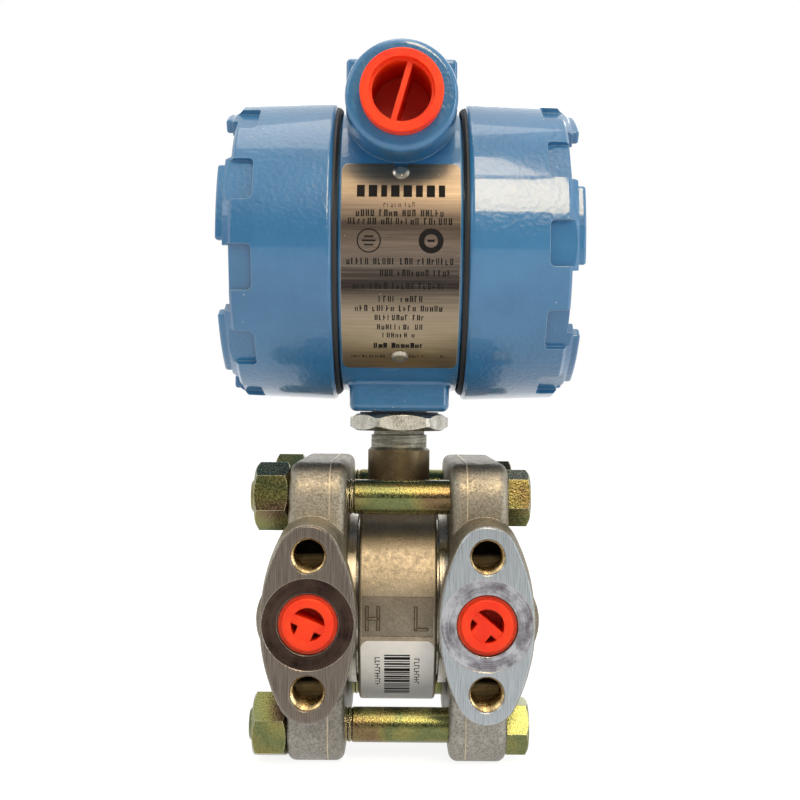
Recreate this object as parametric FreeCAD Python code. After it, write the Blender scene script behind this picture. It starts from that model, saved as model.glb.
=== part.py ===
import FreeCAD, Part
import math
import os

from FreeCAD import Rotation, Vector

# Differential pressure transmitter, in millimetres and degrees.
# The origin lies on the resting surface under the neck axis. +Z is up, the process connections face -Y,
# the high-pressure side is -X and the low-pressure side +X.

# ---- clearances
seat_gap = 0.3              # between pieces that move against each other
running_gap = 0.05          # radial, between a turning piece and its bore
thread_gap = 0.08           # radial, between a cover and the spigot it screws on

# ---- process flanges
flange_gap = 33.0           # between the inner faces
flange_thickness = 18.2
flange_edge_radius = 3.0
bolt_spacing_y = 62.9
bolt_spacing_z = 73.2
ear_radius = 11.1           # corner radius round each bolt
port_spacing = 54.0         # between the two process ports
port_barrel_radius = 16.6   # cast barrel that the port passage runs through
rear_boss_y = 45.0
rear_boss_edge = 2.5
pad_face_y = 57.0
pad_back_y = 47.5
pad_flare_y = 42.0
pad_flare = 1.4
pad_middle_radius = 14.5
pad_end_radius = 9.4
pad_edge = 0.7
mounting_hole_spacing = 41.3
mounting_hole_radius = 5.2  # tapped for a 7/16 in screw
mounting_hole_depth = 15.0
mounting_hole_countersink = 0.45
facing_radius = 13.95
facing_depth = 0.25
port_recess_radius = 9.35
port_recess_depth = 2.0
port_radius = 6.6
port_depth = 15.0
passage_radius = 2.8
chamber_radius = 21.0
chamber_depth = 1.2

# ---- flange bolts
bolt_radius = 5.55
bolt_hole_clearance = 0.35
bolt_head_across = 15.9
bolt_head_height = 7.1
nut_across = 19.05
nut_height = 10.9
bolt_tip_length = 1.4
bolt_tip_chamfer = 0.9
bolt_thread_start = 13.9    # distance from the middle plane to the first thread
bolt_thread_pitch = 1.27
bolt_thread_depth = 0.45
hex_chamfer_share = 0.96    # chamfer circle as a share of the width across flats
bolt_head_turn = 3.0
bolt_head_turn_step = 14.0
nut_turn = 19.0
nut_turn_step = 21.0

# ---- sensor module
module_radius = 35.0
module_width = 25.4
module_edge_radius = 1.0
isolator_radius = 29.5
isolator_bore_radius = 22.0
isolator_groove_width = 0.9
isolator_groove_depth = 2.6
diaphragm_thickness = 0.4
diaphragm_wave = 0.5
seal_radius = 24.6
seal_width = 2.4
seal_depth = 1.6
panel_width = 22.6
panel_low = -8.0
panel_high = 5.0
panel_depth = 0.35
label_width = 23.6
label_thickness = 0.15
label_start = 15.5          # degrees below the front
label_end = 70.0
label_corner = 2.4
neck_radius = 10.7
neck_rise = 51.6            # top of the plain neck above the module axis
neck_shoulder = 1.0
stem_radius = 9.6
relief_height = 5.75
thread_relief_radius = 8.8
thread_relief_length = 1.5

# ---- lock nut
lock_nut_across = 30.3
lock_nut_thickness = 5.75
lock_nut_turn = 35.0
lock_nut_corner_radius = 17.0
lock_nut_chamfer_share = 0.965
neck_seal_radius = 13.6
neck_seal_thickness = 0.6

# ---- housing
boss_width = 33.4
boss_depth = 34.0
boss_corner_radius = 3.2
boss_root_radius = 1.8
boss_drop = 55.0            # barrel axis above the boss's lower face
boss_edge_radius = 2.2
stem_engagement = 12.0      # length of the stem inside the boss
wire_hole_radius = 5.0
body_radius = 47.8
body_width = 39.0
body_edge_radius = 0.8
spigot_radius = 45.8
spigot_length = 18.0
spigot_chamfer = 1.0
compartment_wall = 4.0
partition_x = 11.0
partition_thickness = 3.5
hub_rise = 40.7             # hub axis above the barrel axis
hub_face_radius = 17.2
hub_root_radius = 17.6
hub_face_y = 57.0
hub_root_y = 34.0
hub_edge_radius = 2.0
conduit_radius = 10.3
block_width = 37.0
block_depth = 40.0
block_rise = 62.4           # top of the block above the barrel axis
block_edge_radius = 1.6

# ---- covers
cover_rim_gap = 1.8
cover_wall = 5.02           # over the thread at the rim
cover_draft = 1.1           # radius lost from the rim to the shoulder
cover_side_length = 30.9
cover_rim_round = 1.4
cover_shoulder_round = 0.8
cover_slope_length = 1.0
cover_slope_depth = 1.2
cover_end_thickness = 4.0
cover_dome_step = 2.48      # from the thread in to the dome
cover_thread_length = 17.5
cover_border = 9.3          # from the dish out to the shoulder
cover_dish_depth = 1.0
cover_pocket_count = 11
cover_pocket_angle = 16.5
cover_pocket_length = 6.2
cover_pocket_depth = 2.2
cover_pocket_corner = 1.8
cover_lug_count = 6
cover_lug_angle = 31.0
cover_lug_height = 4.3
cover_lug_width = 4.6
cover_lug_round = 1.0
cover_plinth_margin = 2.0   # degrees that a lug's plinth runs on past the lug
cover_lug_slope_length = 2.0
cover_lug_slope_depth = 1.3
cover_lug_lead = 7.4        # from the reference pocket's middle up to its lug's middle
left_cover_clock = 20.2
right_cover_clock = -3.0
o_ring_width = 3.0
o_ring_corner = 0.8

# ---- conduit plugs
plug_rim_radius = 12.6
plug_rim_thickness = 5.2
plug_rim_edge = 0.6
plug_mouth_radius = 9.9
plug_mouth_depth = 2.0
plug_wall = 1.0
plug_length = 17.0
plug_floor = 1.6
plug_blade_thickness = 1.7
plug_blade_setback = 2.0
plug_blade_turn = -16.0

# ---- process port plugs
port_plug_lip_radius = 9.0
port_plug_lip_thickness = 0.9
port_plug_rim_radius = 8.0
port_plug_rim_thickness = 2.2
port_plug_bore_radius = 5.1
port_plug_wall = 0.9
port_plug_length = 10.0
port_plug_floor = 1.4
port_plug_blade = 2.8
port_plug_tab = 5.2
port_plug_setback = 0.7
high_plug_turn = -112.0
low_plug_turn = -130.0

# ---- vent valves
vent_hex_across = 14.3
vent_hex_height = 6.0
vent_hex_turn = 15.0
vent_shank_radius = 5.6
vent_shank_length = 9.0
vent_stem_radius = 2.6
vent_stem_hex = 7.9
vent_stem_hex_height = 7.0
vent_stem_length = 11.0
vent_stem_tip = 2.2
vent_stem_turn = 8.0

# ---- nameplate and adjusters
plate_width = 37.0
plate_thickness = 0.5
plate_top_angle = 28.4
plate_low_angle = -58.0
plate_corner = 2.2
plate_notch_width = 3.6
plate_notch_depth = 5.4
plate_screw_top = 24.0
plate_screw_low = -50.0
plate_screw_head_radius = 2.6
plate_screw_head_height = 1.0
plate_screw_head_rim = 0.4
plate_screw_head_round = 1.56
plate_screw_radius = 1.2
plate_screw_length = 4.5
adjuster_radius = 2.6
adjuster_length = 4.0
adjuster_slot_width = 0.8
adjuster_slot_depth = 1.2
adjuster_slot_turn = 30.0
zero_angle = 4.0
span_angle = -22.0

# ---- terminal block
terminal_block_width = 56.0
terminal_block_height = 22.0
terminal_block_depth = 9.0
terminal_block_drop = 8.0
terminal_rib_height = 7.0
terminal_rib_width = 2.0
terminal_count = 4
terminal_pitch = 12.0
terminal_screw_radius = 3.6
terminal_screw_head = 2.4
terminal_shank_radius = 1.7
terminal_shank_length = 6.0
terminal_screw_turn_step = 25.0
driver_slot_width = 0.9
driver_slot_depth = 1.1
ground_screw_angle = -62.0
ground_screw_x = 5.0
ground_screw_turn = 40.0
ground_shank_share = 0.7    # of the wall that the shank goes into

# ---- electronics
board_radius = 37.0
board_thickness = 1.6
board_standoff_height = 7.0
board_standoff_radius = 2.8
board_screw_radius = 1.5
board_screw_circle = 31.0
board_screw_count = 3
board_screw_head_radius = 2.7
board_screw_head_height = 1.8
board_chips = ((-12, 6, 16, 14, 3.0), (10, 10, 11, 9, 2.4), (12, -9, 20, 6, 5.0), (-14, -12, 8, 8, 3.6))
board_cans = ((-1, -20, 3.2, 8.0), (7, -21, 3.2, 8.0), (2, 22, 4.0, 10.0))

# ---- places that follow from the sizes above
inner_face_x = flange_gap / 2
outer_face_x = inner_face_x + flange_thickness
port_x = port_spacing / 2
module_z = bolt_spacing_z / 2 + ear_radius
neck_top_z = module_z + neck_rise
nut_z = neck_top_z + relief_height
nut_top_z = nut_z + lock_nut_thickness
boss_z = nut_top_z + neck_seal_thickness + seat_gap
stem_top_z = boss_z + stem_engagement
barrel_z = boss_z + boss_drop
hub_z = barrel_z + hub_rise
body_face_x = body_width / 2
compartment_radius = spigot_radius - compartment_wall
cover_bore_radius = spigot_radius + thread_gap
cover_rim_radius = cover_bore_radius + cover_wall
cover_end_radius = cover_rim_radius - cover_draft
cover_dome_radius = cover_bore_radius - cover_dome_step
cover_dish_radius = cover_end_radius - cover_border
cover_rim_x = body_face_x + cover_rim_gap
cover_shoulder_x = cover_rim_x + cover_side_length
cover_end_x = cover_shoulder_x + cover_slope_length
spigot_end_x = body_face_x + spigot_length
partition_end_x = partition_x + partition_thickness
plug_barrel_radius = conduit_radius - seat_gap
bolt_hole_radius = bolt_radius + bolt_hole_clearance

X_AXIS = Vector(1, 0, 0)
Y_AXIS = Vector(0, 1, 0)
Z_AXIS = Vector(0, 0, 1)
MODULE = Vector(0, 0, module_z)
BARREL = Vector(0, 0, barrel_z)


# ---- drawing helpers

def rounded_wire(corners):
    # Closed outline through (u, v, radius) corners, each rounded by a tangent arc.
    points = [Vector(u, v, 0) for u, v, _ in corners]
    starts = []
    ends = []
    middles = []
    for index, (_, _, radius) in enumerate(corners):
        corner = points[index]
        back = points[index - 1] - corner
        ahead = points[(index + 1) % len(points)] - corner
        half = back.getAngle(ahead) / 2
        back.normalize()
        ahead.normalize()
        if radius == 0:
            starts.append(corner)
            ends.append(corner)
            middles.append(None)
            continue
        reach = radius / math.tan(half)
        bisector = back + ahead
        bisector.normalize()
        starts.append(corner + back * reach)
        ends.append(corner + ahead * reach)
        middles.append(corner + bisector * (radius / math.sin(half) - radius))
    edges = []
    for index, middle in enumerate(middles):
        if middle is not None:
            edges.append(Part.Arc(starts[index], middle, ends[index]).toShape())
        following = starts[(index + 1) % len(points)]
        if ends[index].distanceToPoint(following) > 1e-6:
            edges.append(Part.LineSegment(ends[index], following).toShape())
    return Part.Wire(edges)


def sharp(*points):
    # Corners without rounding.
    return [(u, v, 0) for u, v in points]


def placed(shape, origin, axis, turn=0.0):
    # Moves a shape from the local frame, whose working axis is +X, to an origin and an axis.
    moved = shape.copy()
    moved.rotate(Vector(0, 0, 0), X_AXIS, turn)
    lean = Rotation(X_AXIS, axis)
    moved.Placement = FreeCAD.Placement(origin, lean).multiply(moved.Placement)
    return moved


def turned(corners, origin, axis, sweep=360.0):
    # Revolves an (along, radius) profile about the axis.
    face = Part.Face(rounded_wire(corners))
    return placed(face.revolve(Vector(0, 0, 0), X_AXIS, sweep), origin, axis)


def rod(radius, length, origin, axis):
    return Part.makeCylinder(radius, length, origin, axis)


def prism_x(corners, start_x, length):
    # Extrudes a (y, z) outline along +X.
    face = Part.Face(rounded_wire(corners))
    face.rotate(Vector(0, 0, 0), X_AXIS, 90)
    face.rotate(Vector(0, 0, 0), Z_AXIS, 90)
    solid = face.extrude(Vector(length, 0, 0))
    solid.translate(Vector(start_x, 0, 0))
    return solid


def block(low, high):
    size = high - low
    return Part.makeBox(size.x, size.y, size.z, low)


def hexagon(across, height, origin, axis, turn, chamfer_share, chamfer_back=True, turned_radius=None):
    # Hexagonal prism whose corners are turned off by 30 degree cones, and to a radius where one is given.
    corner_radius = across / math.sqrt(3)
    corners = []
    for index in range(6):
        angle = math.radians(60 * index)
        corners.append((corner_radius * math.cos(angle), corner_radius * math.sin(angle), 0))
    prism = prism_x(corners, 0, height)
    flat_radius = across / 2 * chamfer_share
    reach = turned_radius or corner_radius * 1.001
    drop = (reach - flat_radius) * math.tan(math.radians(30))
    back_radius = flat_radius if chamfer_back else reach
    back_drop = drop if chamfer_back else 0
    profile = [(0, 0), (0, back_radius)]
    if chamfer_back:
        profile.append((back_drop, reach))
    profile += [(height - drop, reach), (height, flat_radius), (height, 0)]
    envelope = turned(sharp(*profile), Vector(0, 0, 0), X_AXIS)
    return placed(prism.common(envelope), origin, axis, turn)


def polar(radius, angle, x=0.0):
    # Point on the barrel's section, with the angle counted up from the front.
    radians = math.radians(angle)
    return Vector(x, -radius * math.cos(radians), barrel_z + radius * math.sin(radians))


def radial(angle):
    radians = math.radians(angle)
    return Vector(0, -math.cos(radians), math.sin(radians))


def mirrored(shape):
    return shape.mirror(Vector(0, 0, 0), X_AXIS)


# ---- process flange, drawn on the low-pressure side

def pad_wire(offset, y):
    # Lozenge whose two long side arcs run tangent into the end circles.
    reach = mounting_hole_spacing / 2
    middle = pad_middle_radius + offset
    end = pad_end_radius + offset
    side = (middle ** 2 + reach ** 2 - end ** 2) / (2 * (middle - end))
    share = side / (side - end)
    tangent_x = (side - middle) * (share - 1)
    tangent_z = reach * share

    def at(x, z):
        return Vector(port_x + x, y, module_z + z)

    edges = []
    for sign in (1, -1):
        low = at(sign * tangent_x, -sign * tangent_z)
        high = at(sign * tangent_x, sign * tangent_z)
        across = at(-sign * tangent_x, sign * tangent_z)
        edges.append(Part.Arc(low, at(sign * middle, 0), high).toShape())
        edges.append(Part.Arc(high, at(0, sign * (reach + end)), across).toShape())
    return Part.Wire(edges)


def lofted_pad(first, second):
    # Body between two lozenges, each an (offset, y) pair.
    return Part.makeLoft([pad_wire(*first), pad_wire(*second)], True, True)


def flange_plate():
    half_y = bolt_spacing_y / 2 + ear_radius
    half_z = bolt_spacing_z / 2 + ear_radius
    corners = []
    for y, z in ((-half_y, -half_z), (half_y, -half_z), (half_y, half_z), (-half_y, half_z)):
        corners.append((y, module_z + z, ear_radius))
    plate = prism_x(corners, inner_face_x, flange_thickness)
    rims = []
    for edge in plate.Edges:
        box = edge.BoundBox
        if box.XLength < 0.01:
            rims.append(edge)
    return plate.makeFillet(flange_edge_radius, rims)


def flange_openings():
    port = Vector(port_x, 0, module_z)
    cuts = []
    for y in (-bolt_spacing_y / 2, bolt_spacing_y / 2):
        for z in (-bolt_spacing_z / 2, bolt_spacing_z / 2):
            start = Vector(inner_face_x - 1, y, module_z + z)
            cuts.append(rod(bolt_hole_radius, flange_thickness + 2, start, X_AXIS))
    for sign in (1, -1):
        mouth = Vector(port_x, -pad_face_y, module_z + sign * mounting_hole_spacing / 2)
        wide = mounting_hole_radius + mounting_hole_countersink
        cuts.append(turned(sharp(
            (-1, 0), (-1, wide), (0, wide), (mounting_hole_countersink, mounting_hole_radius),
            (mounting_hole_depth, mounting_hole_radius), (mounting_hole_depth, 0),
        ), mouth, Y_AXIS))
    recess_y = facing_depth + port_recess_depth
    end_y = recess_y + port_depth
    cuts.append(turned(sharp(
        (-1, 0), (-1, facing_radius), (facing_depth, facing_radius), (facing_depth, port_recess_radius),
        (recess_y, port_recess_radius), (recess_y, port_radius), (end_y, port_radius),
        (end_y + port_radius - passage_radius, passage_radius),
        (pad_face_y + rear_boss_y - vent_shank_length, passage_radius),
        (pad_face_y + rear_boss_y - vent_shank_length, vent_shank_radius),
        (pad_face_y + rear_boss_y + 1, vent_shank_radius), (pad_face_y + rear_boss_y + 1, 0),
    ), port - Y_AXIS * pad_face_y, Y_AXIS))
    chamber = Vector(inner_face_x, 0, module_z)
    cuts.append(rod(passage_radius, port_x - inner_face_x, chamber, X_AXIS))
    cuts.append(rod(chamber_radius, chamber_depth, chamber, X_AXIS))
    groove = rod(seal_radius + seal_width / 2, seal_depth, chamber, X_AXIS)
    cuts.append(groove.cut(rod(seal_radius - seal_width / 2, seal_depth, chamber, X_AXIS)))
    return cuts


def low_flange():
    port = Vector(port_x, 0, module_z)
    plate = flange_plate()
    barrel = turned(
        [(-pad_back_y, 0, 0), (-pad_back_y, port_barrel_radius, 0),
         (rear_boss_y, port_barrel_radius, rear_boss_edge), (rear_boss_y, 0, 0)],
        port, Y_AXIS,
    )
    reach = pad_face_y + rear_boss_y
    inboard = block(Vector(-reach, -pad_back_y - 1, 0), Vector(inner_face_x, reach, 2 * module_z))
    barrel = barrel.cut(inboard)
    face = lofted_pad((-pad_edge, -pad_face_y), (0, -pad_face_y + pad_edge))
    body = lofted_pad((0, -pad_face_y + pad_edge), (0, -pad_back_y))
    flare = lofted_pad((0, -pad_back_y), (pad_flare, -pad_flare_y)).cut(inboard)
    solid = plate.fuse([barrel, face, body, flare])
    return solid.cut(flange_openings()).removeSplitter()


# ---- flange bolts and nuts

def bolt_places():
    places = []
    for y in (-bolt_spacing_y / 2, bolt_spacing_y / 2):
        for z in (-bolt_spacing_z / 2, bolt_spacing_z / 2):
            places.append(Vector(0, y, module_z + z))
    return places


def flange_bolts():
    tip_x = -outer_face_x - nut_height - bolt_tip_length
    length = outer_face_x - tip_x
    start = outer_face_x + bolt_thread_start
    profile = [(0, 0), (0, bolt_radius), (start, bolt_radius)]
    groove_count = int((inner_face_x - bolt_thread_start) / bolt_thread_pitch) + 1
    for index in range(groove_count):
        along = start + index * bolt_thread_pitch
        profile.append((along + bolt_thread_pitch / 2, bolt_radius - bolt_thread_depth))
        profile.append((along + bolt_thread_pitch, bolt_radius))
    profile += [(length - bolt_tip_chamfer, bolt_radius), (length, bolt_radius - bolt_tip_chamfer), (length, 0)]
    bolts = []
    for index, place in enumerate(bolt_places()):
        seat = place + X_AXIS * outer_face_x
        turn = bolt_head_turn + bolt_head_turn_step * index
        shank = turned(sharp(*profile), seat, -X_AXIS)
        head = hexagon(bolt_head_across, bolt_head_height, seat, X_AXIS, turn, hex_chamfer_share, False)
        bolts.append(shank.fuse(head).removeSplitter())
    return Part.makeCompound(bolts)


def flange_nuts():
    nuts = []
    for index, place in enumerate(bolt_places()):
        seat = place - X_AXIS * outer_face_x
        turn = nut_turn + nut_turn_step * index
        nut = hexagon(nut_across, nut_height, seat, -X_AXIS, turn, hex_chamfer_share)
        nuts.append(nut.cut(rod(bolt_radius + running_gap, nut_height, seat, -X_AXIS)))
    return Part.makeCompound(nuts)


# ---- sensor module

def sensor_module():
    half = module_width / 2
    disc = turned(
        [(-half, 0, 0), (-half, module_radius, module_edge_radius),
         (half, module_radius, module_edge_radius), (half, 0, 0)],
        MODULE, X_AXIS,
    )
    shoulder = neck_rise - neck_shoulder
    relief_top = neck_rise + relief_height
    neck = turned(sharp(
        (0, 0), (0, neck_radius), (shoulder, neck_radius), (neck_rise, stem_radius),
        (relief_top - thread_relief_length, stem_radius), (relief_top - thread_relief_length, thread_relief_radius),
        (relief_top, thread_relief_radius), (relief_top, stem_radius),
        (stem_top_z - module_z - neck_shoulder, stem_radius),
        (stem_top_z - module_z, stem_radius - neck_shoulder), (stem_top_z - module_z, 0),
    ), MODULE, Z_AXIS)
    solid = disc.fuse(neck)
    ring = rod(module_radius + 1, panel_width, MODULE - X_AXIS * panel_width / 2, X_AXIS)
    ring = ring.cut(rod(module_radius - panel_depth, panel_width, MODULE - X_AXIS * panel_width / 2, X_AXIS))
    window = block(
        Vector(-panel_width / 2, -module_radius - 1, module_z + panel_low),
        Vector(panel_width / 2, 0, module_z + panel_high),
    )
    bore = rod(wire_hole_radius, stem_engagement, Vector(0, 0, boss_z), Z_AXIS)
    return solid.cut([ring.common(window), bore]).removeSplitter()


def low_isolator():
    # Turned ring welded to the module, with a groove beside the weld.
    start = module_width / 2
    groove_end = start + isolator_groove_width
    inner = isolator_radius - isolator_groove_depth
    return turned(sharp(
        (start, isolator_bore_radius), (start, inner), (groove_end, inner), (groove_end, isolator_radius),
        (inner_face_x, isolator_radius), (inner_face_x, isolator_bore_radius),
    ), MODULE, X_AXIS)


def low_diaphragm():
    # Thin corrugated disc across the isolator's bore.
    x = inner_face_x - diaphragm_wave - diaphragm_thickness
    waves = 3
    steps = 2 * waves
    front = []
    for index in range(steps + 1):
        radius = isolator_bore_radius * (1 - index / (steps + 1))
        lift = diaphragm_wave if index % 2 else 0
        front.append((x + lift, radius))
    front.append((front[-1][0], 0))
    back = [(along + diaphragm_thickness, radius) for along, radius in reversed(front)]
    return turned(sharp(*(front + back)), MODULE, X_AXIS)


def low_flange_seal():
    inner = seal_radius - seal_width / 2
    outer = seal_radius + seal_width / 2
    return turned(sharp(
        (inner_face_x, inner), (inner_face_x, outer),
        (inner_face_x + seal_depth, outer), (inner_face_x + seal_depth, inner),
    ), MODULE, X_AXIS)


def curved_sheet(radius, thickness, width, top_angle, low_angle, corner, origin, notch_width=0, notch_depth=0):
    # Sheet bent round an axis along X, cut from a tube by a rounded outline seen from its middle.
    middle_angle = (top_angle + low_angle) / 2
    half_angle = math.radians(top_angle - low_angle) / 2
    half_height = radius * math.sin(half_angle)
    outer = radius + thickness
    start = Vector(-width / 2, 0, 0)
    tube = rod(outer, width, start, X_AXIS).cut(rod(radius, width, start, X_AXIS))
    corners = []
    for x, z in ((-1, -1), (1, -1), (1, 1), (-1, 1)):
        corners.append((x * width / 2, z * half_height, corner))
    if notch_width > 0:
        side = notch_width / 2
        bottom = half_height - notch_depth * math.cos(half_angle)
        corners[3:3] = [
            (side, half_height, 0), (side, bottom, side), (-side, bottom, side), (-side, half_height, 0)]
    face = Part.Face(rounded_wire(corners))
    face.rotate(Vector(0, 0, 0), X_AXIS, 90)
    window = face.extrude(Vector(0, -outer - 1, 0))
    sheet = tube.common(window)
    sheet.rotate(Vector(0, 0, 0), X_AXIS, -middle_angle)
    sheet.translate(origin)
    return sheet


def serial_label():
    return curved_sheet(
        module_radius, label_thickness, label_width, -label_start, -label_end, label_corner, MODULE)


# ---- lock nut and neck seal

def lock_nut():
    seat = Vector(0, 0, nut_z)
    nut = hexagon(
        lock_nut_across, lock_nut_thickness, seat, Z_AXIS, lock_nut_turn, lock_nut_chamfer_share,
        turned_radius=lock_nut_corner_radius)
    return nut.cut(rod(stem_radius + running_gap, lock_nut_thickness, seat, Z_AXIS))


def neck_seal():
    return turned(sharp(
        (0, stem_radius + running_gap), (0, neck_seal_radius),
        (neck_seal_thickness, neck_seal_radius), (neck_seal_thickness, stem_radius + running_gap),
    ), Vector(0, 0, nut_top_z), Z_AXIS)


# ---- housing

def boss_block():
    # Square boss that carries the neck, rounded at its corners and along its lower rim.
    corners = []
    for x, y in ((-1, -1), (1, -1), (1, 1), (-1, 1)):
        corners.append((x * boss_width / 2, y * boss_depth / 2, boss_corner_radius))
    face = Part.Face(rounded_wire(corners))
    face.translate(Vector(0, 0, boss_z))
    block_up = face.extrude(Vector(0, 0, boss_drop))
    rims = [edge for edge in block_up.Edges if edge.BoundBox.ZMax < boss_z + running_gap]
    return block_up.makeFillet(boss_edge_radius, rims)


def housing_casting():
    body = turned([
        (-spigot_end_x, 0, 0), (-spigot_end_x, spigot_radius - spigot_chamfer, 0),
        (-spigot_end_x + spigot_chamfer, spigot_radius, 0), (-body_face_x, spigot_radius, 0),
        (-body_face_x, body_radius, body_edge_radius), (body_face_x, body_radius, body_edge_radius),
        (body_face_x, spigot_radius, 0), (spigot_end_x - spigot_chamfer, spigot_radius, 0),
        (spigot_end_x, spigot_radius - spigot_chamfer, 0), (spigot_end_x, 0, 0),
    ], BARREL, X_AXIS)
    hub = turned([
        (-hub_face_y, 0, 0), (-hub_face_y, hub_face_radius, hub_edge_radius),
        (-hub_root_y, hub_root_radius, 0), (hub_root_y, hub_root_radius, 0),
        (hub_face_y, hub_face_radius, hub_edge_radius), (hub_face_y, 0, 0),
    ], Vector(0, 0, hub_z), Y_AXIS)
    corners = []
    for y, z in ((-1, 0), (1, 0), (1, 1), (-1, 1)):
        corners.append((y * block_depth / 2, barrel_z + z * block_rise, z * block_edge_radius))
    top = prism_x(corners, -block_width / 2, block_width)
    edges = []
    for edge in top.Edges:
        box = edge.BoundBox
        middle_z = (box.ZMin + box.ZMax) / 2
        if box.XLength < 0.01 and middle_z > barrel_z + 1:
            edges.append(edge)
    top = top.makeFillet(block_edge_radius, edges)
    body = body.fuse(boss_block()).removeSplitter()
    roots = []
    for edge in body.Edges:
        box = edge.BoundBox
        reach = math.hypot(edge.CenterOfMass.y, edge.CenterOfMass.z - barrel_z)
        on_barrel = abs(reach - body_radius) < boss_root_radius
        within = max(box.XMax, -box.XMin) < boss_width / 2 + running_gap
        if on_barrel and within and box.ZMax < barrel_z:
            roots.append(edge)
    body = body.makeFillet(boss_root_radius, roots)
    return body.fuse([hub, top]).removeSplitter()


def plate_screw_places():
    return [plate_screw_top, plate_screw_low]


def housing_openings():
    cuts = []
    left = rod(compartment_radius, spigot_end_x + partition_x, BARREL - X_AXIS * spigot_end_x, X_AXIS)
    right_start = BARREL + X_AXIS * partition_end_x
    right = rod(compartment_radius, spigot_end_x - partition_end_x, right_start, X_AXIS)
    cuts.append(left)
    cuts.append(right)
    cuts.append(rod(conduit_radius, 2 * hub_face_y, Vector(0, -hub_face_y, hub_z), Y_AXIS))
    socket = stem_top_z + seat_gap - boss_z
    cuts.append(rod(stem_radius + running_gap, socket, Vector(0, 0, boss_z), Z_AXIS))
    cuts.append(rod(wire_hole_radius, boss_drop - compartment_radius + 2, Vector(0, 0, boss_z), Z_AXIS))
    for angle in plate_screw_places():
        depth = plate_screw_length + plate_screw_radius
        cuts.append(rod(plate_screw_radius, depth, polar(body_radius + 1, angle), -radial(angle)))
    for angle in (zero_angle, span_angle):
        depth = adjuster_length + 2 * seat_gap
        cuts.append(rod(adjuster_radius + running_gap, depth + 1, polar(body_radius + 1, angle), -radial(angle)))
    wall = polar(compartment_radius - 1, ground_screw_angle, ground_screw_x)
    cuts.append(rod(terminal_shank_radius, 1 + ground_shank_length(), wall, radial(ground_screw_angle)))
    for angle in board_screw_angles():
        start = Vector(partition_x + seat_gap, 0, 0) + board_point(angle)
        cuts.append(rod(board_screw_radius, partition_thickness, start, X_AXIS))
    return cuts


def housing():
    return housing_casting().cut(housing_openings())


def ground_shank_length():
    return (body_radius - compartment_radius) * ground_shank_share


# ---- covers

def cover():
    # Drawn on the +X side, with a pocket facing the front.
    ring_seat = spigot_radius + seat_gap + o_ring_width + seat_gap
    ring_seat_x = body_face_x + seat_gap + o_ring_width + seat_gap
    thread_end_x = ring_seat_x + cover_thread_length
    inside_x = cover_end_x - cover_end_thickness
    slope_radius = cover_end_radius - cover_slope_depth
    lug_outer = slope_radius - cover_lug_slope_depth
    lug_inner = lug_outer - cover_lug_width
    dish_x = cover_end_x - cover_dish_depth
    shell = turned([
        (cover_rim_x, ring_seat, 0),
        (cover_rim_x, cover_rim_radius, cover_rim_round),
        (cover_shoulder_x, cover_end_radius, cover_shoulder_round),
        (cover_end_x, slope_radius, 0),
        (cover_end_x, cover_dish_radius + cover_dish_depth, 0),
        (dish_x, cover_dish_radius, 0),
        (dish_x, 0, 0),
        (inside_x, 0, 0),
        (inside_x, cover_dome_radius, 0),
        (thread_end_x, cover_dome_radius, 0),
        (thread_end_x, cover_bore_radius, 0),
        (ring_seat_x, cover_bore_radius, 0),
        (ring_seat_x, ring_seat, 0),
    ], BARREL, X_AXIS)
    lug_face = cover_end_x + cover_lug_height
    plinth_x = cover_end_x + cover_lug_slope_length
    seat_x = cover_end_x - cover_dish_depth / 2
    plinth = turned(sharp(
        (cover_end_x, slope_radius), (seat_x, slope_radius), (seat_x, lug_inner),
        (plinth_x, lug_inner), (plinth_x, lug_outer),
    ), BARREL, X_AXIS, cover_lug_angle + 2 * cover_plinth_margin)
    plinth.rotate(BARREL, X_AXIS, -cover_plinth_margin)
    lug = turned(sharp(
        (seat_x, lug_outer), (seat_x, lug_inner), (lug_face, lug_inner), (lug_face, lug_outer),
    ), BARREL, X_AXIS, cover_lug_angle)
    rims = [edge for edge in lug.Edges if edge.BoundBox.XMax > seat_x + running_gap]
    lug = lug.makeFillet(cover_lug_round, rims).fuse(plinth).removeSplitter()
    pocket_half = cover_end_radius * math.tan(math.radians(cover_pocket_angle / 2))
    floor = cover_end_radius - cover_pocket_depth
    tall = cover_rim_radius
    start_x = cover_shoulder_x - cover_pocket_length
    face = Part.Face(rounded_wire([
        (start_x, -pocket_half, cover_pocket_corner), (lug_face + 1, -pocket_half, 0),
        (lug_face + 1, pocket_half, 0), (start_x, pocket_half, cover_pocket_corner),
    ]))
    pocket = face.extrude(Vector(0, 0, tall - floor + 2))
    pocket.translate(BARREL + Z_AXIS * floor)
    lugs = []
    for index in range(cover_lug_count):
        piece = lug.copy()
        angle = index * 360 / cover_lug_count
        piece.rotate(BARREL, X_AXIS, lug_turn() + angle)
        lugs.append(piece)
    pockets = []
    for index in range(cover_pocket_count):
        piece = pocket.copy()
        piece.rotate(BARREL, X_AXIS, 90 + index * 360 / cover_pocket_count)
        pockets.append(piece)
    return shell.fuse(lugs).cut(pockets).removeSplitter()


def lug_turn():
    # A sweep about +X starts towards +Y; this turns a lug's middle to its lead angle over the front pocket.
    return 180 - cover_lug_angle / 2 - cover_lug_lead


def left_cover():
    solid = cover()
    solid.rotate(BARREL, Y_AXIS, 180)
    solid.rotate(BARREL, X_AXIS, -left_cover_clock)
    return solid


def right_cover():
    solid = cover()
    solid.rotate(BARREL, X_AXIS, -right_cover_clock)
    return solid


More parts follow.
